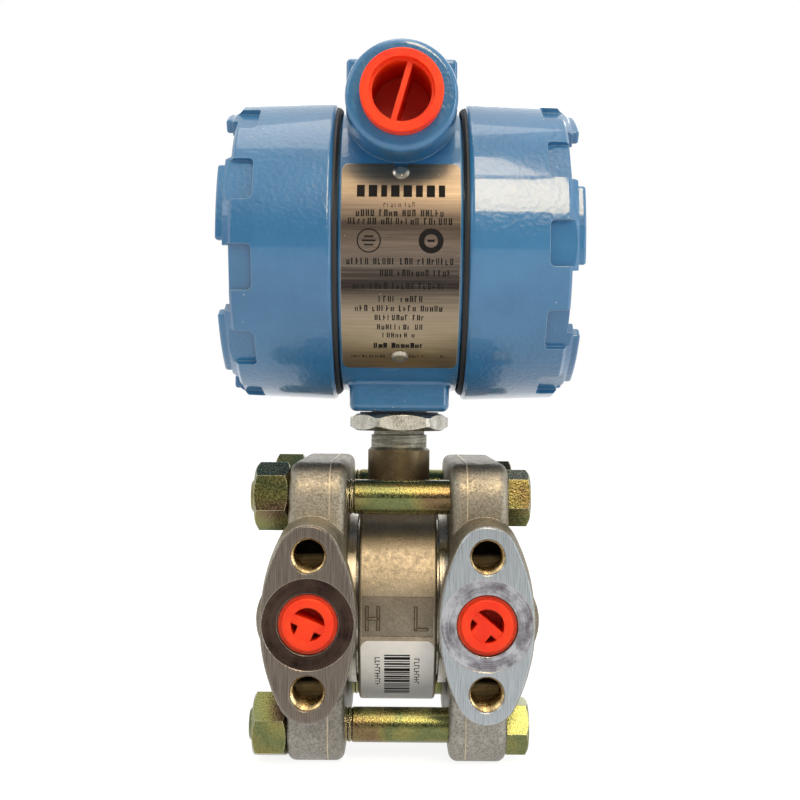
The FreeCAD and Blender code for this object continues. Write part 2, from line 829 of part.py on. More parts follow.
def right_o_ring():
    inner = spigot_radius + seat_gap
    start = body_face_x + seat_gap
    corners = []
    for x, radius in ((0, 0), (0, 1), (1, 1), (1, 0)):
        corners.append((start + x * o_ring_width, inner + radius * o_ring_width, 0))
    ring = turned(corners, BARREL, X_AXIS)
    rims = [edge for edge in ring.Edges if edge.BoundBox.XLength < 0.01]
    return ring.makeChamfer(o_ring_corner, rims)


# ---- plugs, drawn with the cup's mouth towards +X

def slotted(thickness, half_width, start_x, end_x):
    return block(Vector(start_x, -thickness / 2, -half_width), Vector(end_x, thickness / 2, half_width))


def conduit_plug(side):
    # A cup whose collar rests on the hub face; the blade across it is what fingers turn.
    bore = plug_barrel_radius - plug_wall
    tip = -plug_length
    floor_x = tip + plug_floor
    face_x = seat_gap + plug_rim_thickness
    cup = turned([
        (tip, 0, 0), (tip, plug_barrel_radius, plug_rim_edge), (seat_gap, plug_barrel_radius, 0),
        (seat_gap, plug_rim_radius, 0), (face_x, plug_rim_radius, plug_rim_edge),
        (face_x, plug_mouth_radius, 0), (face_x - plug_mouth_depth, plug_mouth_radius, 0),
        (face_x - plug_mouth_depth, bore, 0), (floor_x, bore, 0), (floor_x, 0, 0),
    ], Vector(0, 0, 0), X_AXIS)
    blade = slotted(plug_blade_thickness, bore, floor_x, face_x - plug_blade_setback)
    blade = blade.common(rod(bore + plug_wall / 2, plug_length + face_x, Vector(tip, 0, 0), X_AXIS))
    solid = cup.fuse(blade).removeSplitter()
    return placed(solid, Vector(0, side * hub_face_y, hub_z), Y_AXIS * side, plug_blade_turn)


def process_plug(side, turn):
    # Small cup with a T-shaped tab between its walls.
    barrel = port_plug_bore_radius + port_plug_wall
    rim_back = seat_gap
    lip_face = rim_back + port_plug_lip_thickness
    rim_face = rim_back + port_plug_rim_thickness
    tip = -port_plug_length
    floor_x = tip + port_plug_floor
    cup = turned([
        (tip, 0, 0), (tip, barrel, plug_rim_edge), (rim_back, barrel, 0), (rim_back, port_plug_lip_radius, 0),
        (lip_face, port_plug_lip_radius, 0), (lip_face, port_plug_rim_radius, 0),
        (rim_face, port_plug_rim_radius, plug_rim_edge), (rim_face, port_plug_bore_radius, 0),
        (floor_x, port_plug_bore_radius, 0), (floor_x, 0, 0),
    ], Vector(0, 0, 0), X_AXIS)
    front = rim_face - port_plug_setback
    core = rod(port_plug_bore_radius + port_plug_wall / 2, front - floor_x, Vector(floor_x, 0, 0), X_AXIS)
    blade = slotted(port_plug_blade, port_plug_bore_radius + port_plug_wall / 2, floor_x, front)
    tab = block(
        Vector(floor_x, 0, -port_plug_tab / 2),
        Vector(front, port_plug_bore_radius + port_plug_wall / 2, port_plug_tab / 2),
    )
    solid = cup.fuse([blade.common(core), tab.common(core)]).removeSplitter()
    seat = Vector(side * port_x, -pad_face_y + facing_depth + port_recess_depth, module_z)
    return placed(solid, seat, -Y_AXIS, turn)


# ---- vent valves at the back of the flanges

def vent_seat(side):
    face = Vector(side * port_x, rear_boss_y, module_z)
    body = hexagon(vent_hex_across, vent_hex_height, face, Y_AXIS, vent_hex_turn, hex_chamfer_share, False)
    shank = rod(vent_shank_radius, vent_shank_length, face - Y_AXIS * vent_shank_length, Y_AXIS)
    solid = body.fuse(shank).removeSplitter()
    bore_depth = vent_stem_length + seat_gap
    top = face + Y_AXIS * vent_hex_height
    return solid.cut([
        rod(vent_stem_radius + running_gap, bore_depth, top - Y_AXIS * bore_depth, Y_AXIS),
        rod(vent_stem_radius / 2, vent_hex_height + vent_shank_length, face - Y_AXIS * vent_shank_length, Y_AXIS),
    ])


def vent_stem(side):
    top = Vector(side * port_x, rear_boss_y + vent_hex_height, module_z)
    turn = vent_stem_turn * side
    head = hexagon(
        vent_stem_hex, vent_stem_hex_height, top + Y_AXIS * seat_gap, Y_AXIS, turn, hex_chamfer_share, False)
    stem = turned(sharp(
        (-vent_stem_length, 0), (-vent_stem_length + vent_stem_tip, vent_stem_radius),
        (seat_gap + 1, vent_stem_radius), (seat_gap + 1, 0),
    ), top, Y_AXIS)
    return head.fuse(stem).removeSplitter()


# ---- nameplate and what lies behind it

def nameplate():
    sheet = curved_sheet(
        body_radius, plate_thickness, plate_width, plate_top_angle, plate_low_angle, plate_corner, BARREL,
        plate_notch_width, plate_notch_depth)
    holes = []
    for angle in plate_screw_places():
        start = polar(body_radius - plate_screw_length, angle)
        holes.append(rod(plate_screw_radius, 2 * plate_screw_length, start, radial(angle)))
    return sheet.cut(holes)


def nameplate_screws():
    # Round-headed drive screws.
    screws = []
    for angle in plate_screw_places():
        seat = polar(body_radius + plate_thickness, angle)
        screws.append(turned([
            (-plate_screw_length, 0, 0), (-plate_screw_length, plate_screw_radius, 0), (0, plate_screw_radius, 0),
            (0, plate_screw_head_radius, 0), (plate_screw_head_rim, plate_screw_head_radius, 0),
            (plate_screw_head_height, plate_screw_head_round, plate_screw_head_round),
            (plate_screw_head_height, 0, 0),
        ], seat, radial(angle)))
    return Part.makeCompound(screws)


def adjuster(angle):
    # Slotted screw sunk below the plate.
    top = polar(body_radius - seat_gap, angle)
    screw = rod(adjuster_radius, adjuster_length, top, -radial(angle))
    slot = slotted(adjuster_slot_width, adjuster_radius + 1, -adjuster_slot_depth, 1)
    return screw.cut(placed(slot, top, radial(angle), adjuster_slot_turn))


# ---- terminal compartment

def terminal_y(index):
    return (index - (terminal_count - 1) / 2) * terminal_pitch


def terminal_face_x():
    return partition_x - terminal_block_depth


def terminal_point(index):
    return Vector(terminal_face_x(), terminal_y(index), barrel_z - terminal_block_drop)


def terminal_block():
    # Barrier strip on the partition, open towards -X.
    half_height = terminal_block_height / 2
    middle_z = barrel_z - terminal_block_drop
    base = block(
        Vector(terminal_face_x(), -terminal_block_width / 2, middle_z - half_height),
        Vector(partition_x, terminal_block_width / 2, middle_z + half_height),
    )
    ribs = []
    for index in range(terminal_count + 1):
        y = terminal_y(index) - terminal_pitch / 2
        ribs.append(block(
            Vector(terminal_face_x() - terminal_rib_height, y - terminal_rib_width / 2, middle_z - half_height),
            Vector(terminal_face_x(), y + terminal_rib_width / 2, middle_z + half_height),
        ))
    holes = []
    for index in range(terminal_count):
        holes.append(rod(terminal_shank_radius, terminal_shank_length, terminal_point(index), X_AXIS))
    return base.fuse(ribs).removeSplitter().cut(holes)


def slotted_screw(seat, axis, shank_length, turn):
    # Pan head screw: the head stands on the seat along the axis.
    head = turned([
        (-shank_length, 0, 0), (-shank_length, terminal_shank_radius, 0), (0, terminal_shank_radius, 0),
        (0, terminal_screw_radius, 0), (terminal_screw_head, terminal_screw_radius, terminal_screw_head / 3),
        (terminal_screw_head, 0, 0),
    ], Vector(0, 0, 0), X_AXIS)
    slot = slotted(
        driver_slot_width, terminal_screw_radius + 1, terminal_screw_head - driver_slot_depth,
        terminal_screw_head + 1)
    return placed(head.cut(slot), seat, axis, turn)


def terminal_screws():
    screws = []
    for index in range(terminal_count):
        turn = terminal_screw_turn_step * index
        screws.append(slotted_screw(terminal_point(index), -X_AXIS, terminal_shank_length, turn))
    return Part.makeCompound(screws)


def ground_screw():
    sag = compartment_radius - math.sqrt(compartment_radius ** 2 - terminal_screw_radius ** 2)
    seat = polar(compartment_radius - sag, ground_screw_angle, ground_screw_x)
    return slotted_screw(seat, -radial(ground_screw_angle), ground_shank_length() + sag, ground_screw_turn)


# ---- electronics compartment

def board_screw_angles():
    return [index * 360 / board_screw_count + 90 for index in range(board_screw_count)]


def board_point(angle):
    radians = math.radians(angle)
    return Vector(0, board_screw_circle * math.cos(radians), barrel_z + board_screw_circle * math.sin(radians))


def board_x():
    return partition_end_x + board_standoff_height


def main_board():
    start = BARREL + X_AXIS * board_x()
    disc = rod(board_radius, board_thickness, start, X_AXIS)
    holes = []
    for angle in board_screw_angles():
        holes.append(rod(board_screw_radius, board_thickness, board_point(angle) + X_AXIS * board_x(), X_AXIS))
    return disc.cut(holes)


def board_standoffs():
    pillars = []
    for angle in board_screw_angles():
        start = board_point(angle) + X_AXIS * partition_end_x
        pillar = rod(board_standoff_radius, board_standoff_height, start, X_AXIS)
        pillars.append(pillar.cut(rod(board_screw_radius, board_standoff_height, start, X_AXIS)))
    return Part.makeCompound(pillars)


def board_screws():
    screws = []
    for angle in board_screw_angles():
        seat = board_point(angle) + X_AXIS * (board_x() + board_thickness)
        shank_length = board_standoff_height + board_thickness + partition_thickness / 2
        head = rod(board_screw_head_radius, board_screw_head_height, seat, X_AXIS)
        shank = rod(board_screw_radius, shank_length, seat, -X_AXIS)
        screws.append(head.fuse(shank).removeSplitter())
    return Part.makeCompound(screws)


def board_components():
    # Chips as (y, z, width, height, rise) and cans as (y, z, radius, rise).
    face = board_x() + board_thickness
    pieces = []
    for y, z, width, height, rise in board_chips:
        low = Vector(face, y - width / 2, barrel_z + z - height / 2)
        pieces.append(block(low, low + Vector(rise, width, height)))
    for y, z, radius, rise in board_cans:
        pieces.append(rod(radius, rise, Vector(face, y, barrel_z + z), X_AXIS))
    return Part.makeCompound(pieces)


# ---- export

def make_nodes():
    flange = low_flange()
    isolator = low_isolator()
    diaphragm = low_diaphragm()
    seal = low_flange_seal()
    o_ring = right_o_ring()
    return {
        "sensor_module": sensor_module(),
        "isolator_high": mirrored(isolator),
        "isolator_low": isolator,
        "diaphragm_high": mirrored(diaphragm),
        "diaphragm_low": diaphragm,
        "flange_seal_high": mirrored(seal),
        "flange_seal_low": seal,
        "flange_high": mirrored(flange),
        "flange_low": flange,
        "flange_bolts": flange_bolts(),
        "flange_nuts": flange_nuts(),
        "vent_seat_high": vent_seat(-1),
        "vent_seat_low": vent_seat(1),
        "vent_stem_high": vent_stem(-1),
        "vent_stem_low": vent_stem(1),
        "process_plug_high": process_plug(-1, high_plug_turn),
        "process_plug_low": process_plug(1, low_plug_turn),
        "serial_label": serial_label(),
        "lock_nut": lock_nut(),
        "neck_seal": neck_seal(),
        "housing": housing(),
        "cover_left": left_cover(),
        "cover_right": right_cover(),
        "cover_o_ring_left": mirrored(o_ring),
        "cover_o_ring_right": o_ring,
        "conduit_plug_front": conduit_plug(-1),
        "conduit_plug_rear": conduit_plug(1),
        "nameplate": nameplate(),
        "nameplate_screws": nameplate_screws(),
        "zero_screw": adjuster(zero_angle),
        "span_screw": adjuster(span_angle),
        "terminal_block": terminal_block(),
        "terminal_screws": terminal_screws(),
        "ground_screw": ground_screw(),
        "main_board": main_board(),
        "board_standoffs": board_standoffs(),
        "board_screws": board_screws(),
        "board_components": board_components(),
    }


os.makedirs("parts", exist_ok=True)
for name, shape in make_nodes().items():
    shape.exportStep("parts/" + name + ".step")
    box = shape.BoundBox
    print("%-20s solids %d  valid %s  volume %9.1f  X %7.2f %7.2f  Y %7.2f %7.2f  Z %7.2f %7.2f" % (
        name, len(shape.Solids), shape.isValid(), shape.Volume,
        box.XMin, box.XMax, box.YMin, box.YMax, box.ZMin, box.ZMax))
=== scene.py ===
import math
import random

import bmesh
import bpy
from mathutils import Matrix, Vector


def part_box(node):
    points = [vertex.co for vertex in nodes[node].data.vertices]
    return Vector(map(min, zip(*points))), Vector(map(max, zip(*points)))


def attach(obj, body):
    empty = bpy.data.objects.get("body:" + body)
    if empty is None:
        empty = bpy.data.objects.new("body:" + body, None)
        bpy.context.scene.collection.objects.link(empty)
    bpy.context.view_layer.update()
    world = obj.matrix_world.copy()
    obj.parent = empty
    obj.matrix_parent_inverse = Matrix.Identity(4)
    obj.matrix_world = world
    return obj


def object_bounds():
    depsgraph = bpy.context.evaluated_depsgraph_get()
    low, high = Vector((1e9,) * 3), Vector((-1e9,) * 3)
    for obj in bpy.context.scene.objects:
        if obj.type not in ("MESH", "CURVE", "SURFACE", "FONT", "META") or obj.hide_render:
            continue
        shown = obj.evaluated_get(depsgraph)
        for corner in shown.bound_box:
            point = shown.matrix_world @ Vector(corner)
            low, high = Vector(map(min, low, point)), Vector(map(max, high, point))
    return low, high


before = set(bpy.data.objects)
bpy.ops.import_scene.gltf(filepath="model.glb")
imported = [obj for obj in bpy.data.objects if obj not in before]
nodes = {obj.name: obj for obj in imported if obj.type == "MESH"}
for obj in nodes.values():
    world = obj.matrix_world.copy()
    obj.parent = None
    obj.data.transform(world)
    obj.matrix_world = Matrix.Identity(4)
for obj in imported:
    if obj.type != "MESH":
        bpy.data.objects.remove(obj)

# finishes, print, mould seams, threads and studio for the differential pressure transmitter
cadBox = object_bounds()
mm = 0.001
white = (1.0, 1.0, 1.0)


def middleOf(node):
    low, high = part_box(node)
    return (low + high) / 2


def reachOf(node, axisZ):
    # how far a node stands out from an axis that runs along X
    return max(math.hypot(vert.co.y, vert.co.z - axisZ) for vert in nodes[node].data.vertices)


# places that everything below hangs on, all read from the frame
portZ = middleOf("isolator_high").z  # height of the process ports
portX = middleOf("vent_seat_low").x  # the ports stand this far either side of the middle
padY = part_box("flange_low")[0].y  # face of the two pads
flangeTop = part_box("flange_high")[1].z
barrelZ = middleOf("cover_o_ring_left").z  # axis of the housing
hubZ = middleOf("conduit_plug_front").z  # axis of the conduit entries
plateRadius = reachOf("nameplate", barrelZ)
labelRadius = reachOf("serial_label", portZ)
holeRise = 20.65 * mm  # tapped holes, above and below the port
holeRadius = 5.2 * mm


# shader nodes: each function adds what it names and gives back its output

def newMaterial(name, sockets):
    material = bpy.data.materials.new(name)
    material.use_nodes = True
    shader = material.node_tree.nodes["Principled BSDF"]
    for socket, value in sockets.items():
        shader.inputs[socket].default_value = value
    return material


def addNode(material, kind, inputs=None, **settings):
    node = material.node_tree.nodes.new("ShaderNode" + kind)
    for key, value in settings.items():
        setattr(node, key, value)
    for key, value in (inputs or {}).items():
        plug(material, node.inputs[key], value)
    return node


def plug(material, socket, value):
    # a socket takes another node's output or a plain value
    if isinstance(value, bpy.types.NodeSocket):
        material.node_tree.links.new(value, socket)
    else:
        socket.default_value = value


def link(material, output, socket):
    material.node_tree.links.new(output, material.node_tree.nodes["Principled BSDF"].inputs[socket])


def coords(material, centre=(0, 0, 0), stretch=(1, 1, 1)):
    # object coordinates, shifted so that centre is the middle, then stretched
    spot = addNode(material, "TexCoord").outputs["Object"]
    shifted = addNode(material, "VectorMath", {0: spot, 1: centre}, operation="SUBTRACT").outputs[0]
    return addNode(material, "VectorMath", {0: shifted, 1: stretch}, operation="MULTIPLY").outputs[0]


def parts(material, vector):
    split = addNode(material, "SeparateXYZ", {0: vector})
    return split.outputs["X"], split.outputs["Y"], split.outputs["Z"]


def noise(material, vector, scale, detail=2.0, roughness=0.5, distortion=0.0):
    return addNode(material, "TexNoise", {
        "Vector": vector, "Scale": scale, "Detail": detail,
        "Roughness": roughness, "Distortion": distortion}).outputs["Fac"]


def maths(material, operation, first, second=0.0):
    return addNode(material, "Math", {0: first, 1: second}, operation=operation).outputs[0]


def times(material, first, second):
    return maths(material, "MULTIPLY", first, second)


def minus(material, first, second):
    return maths(material, "SUBTRACT", first, second)


def distance(material, first, second):
    squares = maths(material, "ADD", times(material, first, first), times(material, second, second))
    return maths(material, "SQRT", squares)


def fade(material, value, low, high, toLow=0.0, toHigh=1.0):
    # smooth step of value from low..high to toLow..toHigh
    return addNode(material, "MapRange", {
        "Value": value, "From Min": low, "From Max": high, "To Min": toLow, "To Max": toHigh},
        interpolation_type="SMOOTHSTEP").outputs["Result"]


def within(material, value, limit, soft):
    # 1 where value is under the limit, 0 over it
    return fade(material, value, limit + soft, limit - soft)


def ramp(material, factor, stops):
    node = addNode(material, "ValToRGB", {"Fac": factor})
    elements = node.color_ramp.elements
    while len(elements) < len(stops):
        elements.new(0.5)
    for element, (position, colour) in zip(elements, stops):
        element.position = position
        element.color = (*colour, 1.0)
    return node.outputs["Color"]


def twoTone(material, factor, low, high, tones):
    return ramp(material, factor, [(low, tones[0]), (high, tones[1])])


def mixed(material, factor, first, second, mode="MIX"):
    # mixes two colours
    node = addNode(material, "Mix", data_type="RGBA", blend_type=mode)
    for name, value in (("Factor", factor), ("A", first), ("B", second)):
        socket = [item for item in node.inputs if item.name == name and item.enabled][0]
        plug(material, socket, (*value, 1.0) if isinstance(value, tuple) else value)
    return [item for item in node.outputs if item.enabled][0]


def blend(material, factor, first, second):
    # mixes two numbers
    return addNode(material, "Mix", {0: factor, 2: first, 3: second}, data_type="FLOAT").outputs[0]


def bump(material, height, distance, strength=1.0, before=None):
    inputs = {"Height": height, "Distance": distance, "Strength": strength}
    if before is not None:
        inputs["Normal"] = before
    return addNode(material, "Bump", inputs).outputs["Normal"]


def tint(red, green, blue):
    # a screen colour, 0 to 255, as the linear value that a shader takes
    return tuple(((value / 255 + 0.055) / 1.055) ** 2.4 if value > 10 else value / 3294
                 for value in (red, green, blue))


def roundedEdges(material, radius, low=0.02, high=0.12):
    # shading normal that rounds off sharp edges, and a mask that is 1 along them
    soft = addNode(material, "Bevel", {"Radius": radius}, samples=6).outputs["Normal"]
    plain = addNode(material, "NewGeometry").outputs["Normal"]
    match = addNode(material, "VectorMath", {0: soft, 1: plain}, operation="DOT_PRODUCT").outputs["Value"]
    return soft, fade(material, minus(material, 1.0, match), low, high)


def flecks(material, spot, look):
    # rare specks of dust, 1 at each speck
    dust = addNode(material, "TexVoronoi", {"Vector": spot, "Scale": look["size"], "Randomness": 1.0})
    fleck = fade(material, dust.outputs["Distance"], look["core"], look["rim"], 1.0, 0.0)
    rare = fade(material, noise(material, spot, look["patchSize"], 1.0), look["patchLow"], look["patchHigh"])
    return times(material, fleck, rare)


paintLook = {
    "tones": (tint(38, 98, 146), tint(50, 112, 160)), "toneSize": 30.0,
    # lighter paint along the edges: partly wear, partly a painted highlight
    "wornAndHighlight": tint(150, 182, 204), "wornAndHighlightShare": 0.6, "edgeRadius": 0.45 * mm,
    "roughness": 0.30, "coat": 0.7, "coatRoughness": 0.06, "specular": 0.45,
    "peelSize": 640.0, "peelDepth": 0.20 * mm,
    "swellSize": 95.0, "swellDepth": 0.14 * mm,
    "dust": {"size": 240.0, "core": 0.045, "rim": 0.07, "patchSize": 90.0, "patchLow": 0.55, "patchHigh": 0.58},
    "dustColour": tint(196, 208, 214), "dustShare": 0.55, "dustDepth": 0.03 * mm,
}


def bluePaint():
    look = paintLook
    paint = newMaterial("bluePaint", {
        "Roughness": look["roughness"], "Coat Weight": look["coat"],
        "Coat Roughness": look["coatRoughness"], "Specular IOR Level": look["specular"]})
    spot = coords(paint)
    tone = twoTone(paint, noise(paint, spot, look["toneSize"], 4.0, 0.6), 0.34, 0.66, look["tones"])
    soft, edge = roundedEdges(paint, look["edgeRadius"])
    tone = mixed(paint, times(paint, edge, look["wornAndHighlightShare"]), tone, look["wornAndHighlight"])  # paint pulls thin on edges, and the lighter edges are also a painted highlight
    fleck = flecks(paint, spot, look["dust"])
    tone = mixed(paint, times(paint, fleck, look["dustShare"]), tone, look["dustColour"])
    link(paint, tone, "Base Color")
    swell = bump(paint, noise(paint, spot, look["swellSize"], 1.0), look["swellDepth"], 1.0, soft)
    peel = bump(paint, noise(paint, spot, look["peelSize"], 1.5, 0.45), look["peelDepth"], 1.0, swell)
    link(paint, bump(paint, fleck, look["dustDepth"], 1.0, peel), "Normal")
    return paint


flangeLook = {
    "warm": (tint(133, 126, 111), tint(172, 165, 149)),  # upper half, dark and light
    "grey": (tint(128, 124, 116), tint(172, 168, 160)),  # lower half
    "greyBelow": -30 * mm, "warmAbove": 22 * mm,  # heights over the ports
    "cloudSize": 24.0, "grainSize": 1500.0, "grainShade": (0.58, 0.57, 0.55),
    # top: painted shade on the flanges' upper faces, under the housing
    "top": tint(58, 50, 36), "topShadeShare": 0.55, "topStart": 3.5 * mm, "topFull": 1 * mm,
    # edge: a painted highlight along the rounded edges
    "edge": tint(214, 208, 196), "edgeHighlightShare": 0.45, "edgeRadius": 0.35 * mm,
    "castRough": (0.44, 0.62),
    "pitSize": 1000.0, "pitDepth": 0.16 * mm, "swellSize": 150.0, "swellDepth": 0.25 * mm,
}

padLook = {
    # the left pad's brushed face is painted darker and the right one lighter: a painted reflection
    "left": (tint(80, 70, 62), tint(132, 124, 115)),
    "right": (tint(132, 138, 142), tint(184, 192, 198)),
    "depth": 0.4 * mm,  # only the pads' faces are machined
    "brush": (4600.0, 1.0, 90.0),
    "rough": (0.24, 0.38),
    "ringRadius": 13.95 * mm,
    "ringLeft": (tint(34, 26, 24), tint(82, 66, 58)),
    "ringRight": (tint(96, 88, 92), tint(134, 134, 140), tint(178, 180, 186)),
    "grooves": 2400.0, "drift": 60.0, "stainSize": 130.0,
    "toolDepth": 0.014 * mm,
    "soft": 0.05 * mm,
}

boreLook = {
    "mouth": 0.11 * mm, "reach": 24.5 * mm,
    "wall": tint(128, 104, 66),
    "endDepth": 14.8 * mm, "soft": 0.1 * mm,
    # the blind end: painted lit tones with thread highlights, and painted shade
    "endLitTones": (tint(130, 100, 58), tint(250, 222, 160)), "endDark": tint(20, 16, 12),
    "lines": 15500.0, "shift": 0.7 * mm, "litDepth": 2.4 * mm,
}


def flangePlaces(steel, spot):
    # distances on a pad's face, from its port and from the nearer tapped hole
    x, y, z = parts(steel, spot)
    acrossX = minus(steel, maths(steel, "ABSOLUTE", x), portX)
    acrossZ = minus(steel, z, portZ)
    fromPort = distance(steel, acrossX, acrossZ)
    fromHole = distance(steel, acrossX, minus(steel, maths(steel, "ABSOLUTE", acrossZ), holeRise))
    return x, y, z, acrossX, acrossZ, fromPort, fromHole


def padTones(steel, spot, places, inRing):
    look = padLook
    x, y, z, acrossX, acrossZ, fromPort, fromHole = places
    onRight = fade(steel, x, -1 * mm, 1 * mm)
    lines = noise(steel, coords(steel, stretch=look["brush"]), 1.0, 3.0, 0.6)
    # painted reflection: darker brushed tones on the left pad, lighter on the right
    brushed = mixed(steel, onRight, twoTone(steel, lines, 0.30, 0.72, look["left"]),
                    twoTone(steel, lines, 0.30, 0.72, look["right"]))
    turned = addNode(steel, "CombineXYZ", {"X": times(steel, fromPort, look["grooves"]),
                                           "Y": times(steel, acrossX, look["drift"]),
                                           "Z": times(steel, acrossZ, look["drift"])}).outputs[0]
    grooves = noise(steel, turned, 1.0, 3.0, 0.7)
    stain = noise(steel, spot, look["stainSize"], 5.0, 0.68)
    ringLeft = twoTone(steel, blend(steel, 0.62, grooves, stain), 0.34, 0.66, look["ringLeft"])
    ringRight = ramp(steel, blend(steel, 0.70, grooves, stain), list(zip((0.40, 0.48, 0.58), look["ringRight"])))
    tone = mixed(steel, inRing, brushed, mixed(steel, onRight, ringLeft, ringRight))
    return tone, lines, blend(steel, inRing, lines, grooves)


def boreTone(steel, y, acrossZ):
    # thread-coloured walls, and a blind end with a painted lit crescent of thread highlights low down and painted
    # shade above
    look = boreLook
    side = maths(steel, "SIGN", acrossZ)
    height = minus(steel, acrossZ, times(steel, side, holeRise))
    turns = fade(steel, maths(steel, "SINE", times(steel, height, look["lines"])), -0.8, 1.0)
    low = maths(steel, "ADD", height, times(steel, side, look["shift"]))
    lit = fade(steel, low, 0.0, -look["litDepth"])
    end = mixed(steel, lit, look["endDark"], mixed(steel, turns, *look["endLitTones"]))
    atEnd = fade(steel, y, padY + look["endDepth"] - look["soft"], padY + look["endDepth"] + look["soft"])
    return mixed(steel, atEnd, look["wall"], end)


def castFlange():
    look = flangeLook
    steel = newMaterial("castFlange", {"Metallic": 1.0})
    spot = coords(steel)
    places = flangePlaces(steel, spot)
    x, y, z, acrossX, acrossZ, fromPort, fromHole = places
    onPad = within(steel, y, padY + padLook["depth"], padLook["soft"])
    inRing = times(steel, within(steel, fromPort, padLook["ringRadius"], padLook["soft"]), onPad)
    inHole = times(steel, within(steel, fromHole, holeRadius + boreLook["mouth"], padLook["soft"]),
                   within(steel, y, padY + boreLook["reach"], 0.5 * mm))
    cloud = noise(steel, spot, look["cloudSize"], 4.0, 0.55)
    mottle = mixed(steel, fade(steel, z, portZ + look["greyBelow"], portZ + look["warmAbove"]),
                   twoTone(steel, cloud, 0.30, 0.62, look["grey"]), twoTone(steel, cloud, 0.30, 0.62, look["warm"]))
    fine = twoTone(steel, noise(steel, spot, look["grainSize"], 3.0, 0.6), 0.34, 0.56, (look["grainShade"], white))
    cast = mixed(steel, 1.0, mottle, fine, "MULTIPLY")
    # painted shade on the upper faces
    topShade = fade(steel, z, flangeTop - look["topStart"], flangeTop - look["topFull"], 0.0, look["topShadeShare"])
    cast = mixed(steel, topShade, cast, look["top"])
    machined, lines, tooled = padTones(steel, spot, places, inRing)
    soft, edge = roundedEdges(steel, look["edgeRadius"])
    metal = mixed(steel, onPad, cast, machined)
    # painted highlight along the rounded edges
    metal = mixed(steel, times(steel, edge, look["edgeHighlightShare"]), metal, look["edge"])
    link(steel, mixed(steel, inHole, metal, boreTone(steel, y, acrossZ)), "Base Color")
    rough = fade(steel, noise(steel, spot, 500.0, 3.0), 0.3, 0.7, *look["castRough"])
    link(steel, blend(steel, onPad, rough, fade(steel, lines, 0.3, 0.7, *padLook["rough"])), "Roughness")
    castOnly = minus(steel, 1.0, onPad)
    pits = times(steel, noise(steel, spot, look["pitSize"], 4.0, 0.6), castOnly)
    swell = times(steel, noise(steel, spot, look["swellSize"], 3.0), castOnly)
    first = bump(steel, pits, look["pitDepth"], 1.0, soft)
    second = bump(steel, swell, look["swellDepth"], 0.7, first)
    link(steel, bump(steel, times(steel, tooled, onPad), padLook["toolDepth"], 1.0, second), "Normal")
    return steel


moduleLook = {
    "face": (tint(150, 140, 122), tint(176, 165, 146)),
    "neck": (tint(84, 70, 50), tint(134, 118, 90)),
    "stem": (tint(96, 92, 80), tint(176, 174, 158)),
    "neckFrom": (34.5 * mm, 37.0 * mm), "stemFrom": (50.4 * mm, 51.0 * mm),  # heights over the ports
    "toneSize": 60.0, "streaks": (90.0, 90.0, 1500.0),
    "grainSize": 1700.0, "grainShade": (0.74, 0.74, 0.74),
    "panelLow": -8.1 * mm, "panelHigh": 5.1 * mm, "panelHalf": 11.25 * mm, "panelFront": -32.5 * mm,
    "panelSoft": 0.3 * mm,
    "panelShade": 0.28,  # painted shade: how much darker the recessed panel is made
    "stroke": tint(60, 50, 38), "creaseShadeShare": 0.6,  # painted shade along the edges in the panel
    "edgeRadius": 0.35 * mm,
    "rough": (0.42, 0.56), "roughSize": 600.0, "pitSize": 1300.0, "pitDepth": 0.06 * mm,
}


def castModule():
    look = moduleLook
    steel = newMaterial("castModule", {"Metallic": 1.0})
    spot = coords(steel)
    x, y, z = parts(steel, spot)
    onNeck = fade(steel, z, *(portZ + rise for rise in look["neckFrom"]))
    onStem = fade(steel, z, *(portZ + rise for rise in look["stemFrom"]))
    tone = noise(steel, spot, look["toneSize"], 5.0, 0.62)
    streak = noise(steel, coords(steel, stretch=look["streaks"]), 1.0, 3.0, 0.7)
    body = mixed(steel, onNeck, twoTone(steel, tone, 0.30, 0.66, look["face"]),
                 twoTone(steel, tone, 0.30, 0.66, look["neck"]))
    metal = mixed(steel, onStem, body, twoTone(steel, streak, 0.34, 0.66, look["stem"]))
    fine = twoTone(steel, noise(steel, spot, look["grainSize"], 3.0, 0.6), 0.32, 0.62, (look["grainShade"], white))
    metal = mixed(steel, 1.0, metal, fine, "MULTIPLY")
    low, high = portZ + look["panelLow"], portZ + look["panelHigh"]
    upright = times(steel, fade(steel, z, low, low + look["panelSoft"]),
                    fade(steel, z, high, high - look["panelSoft"]))
    sideways = times(steel, within(steel, maths(steel, "ABSOLUTE", x), look["panelHalf"], look["panelSoft"] / 2),
                     within(steel, y, look["panelFront"], 0.5 * mm))
    inPanel = times(steel, upright, sideways)
    soft, edge = roundedEdges(steel, look["edgeRadius"], 0.01, 0.08)
    # painted shade in the recessed panel
    metal = mixed(steel, times(steel, inPanel, look["panelShade"]), metal, (0.0, 0.0, 0.0))
    # painted shade along the panel's edges
    creaseShade = times(steel, times(steel, edge, inPanel), look["creaseShadeShare"])
    link(steel, mixed(steel, creaseShade, metal, look["stroke"]), "Base Color")
    link(steel, fade(steel, noise(steel, spot, look["roughSize"], 3.0), 0.3, 0.7, *look["rough"]), "Roughness")
    pits = noise(steel, spot, look["pitSize"], 3.0, 0.6)
    link(steel, bump(steel, pits, look["pitDepth"], 1.0, soft), "Normal")
    return steel


turnedLook = {
    "tones": (tuple(value * 0.62 for value in tint(196, 190, 176)), tint(196, 190, 176)),
    "rings": (3000.0, 40.0, 40.0), "ringDepth": 0.01 * mm,
    "rough": (0.24, 0.36), "roughSize": 300.0, "edgeRadius": 0.2 * mm,
}


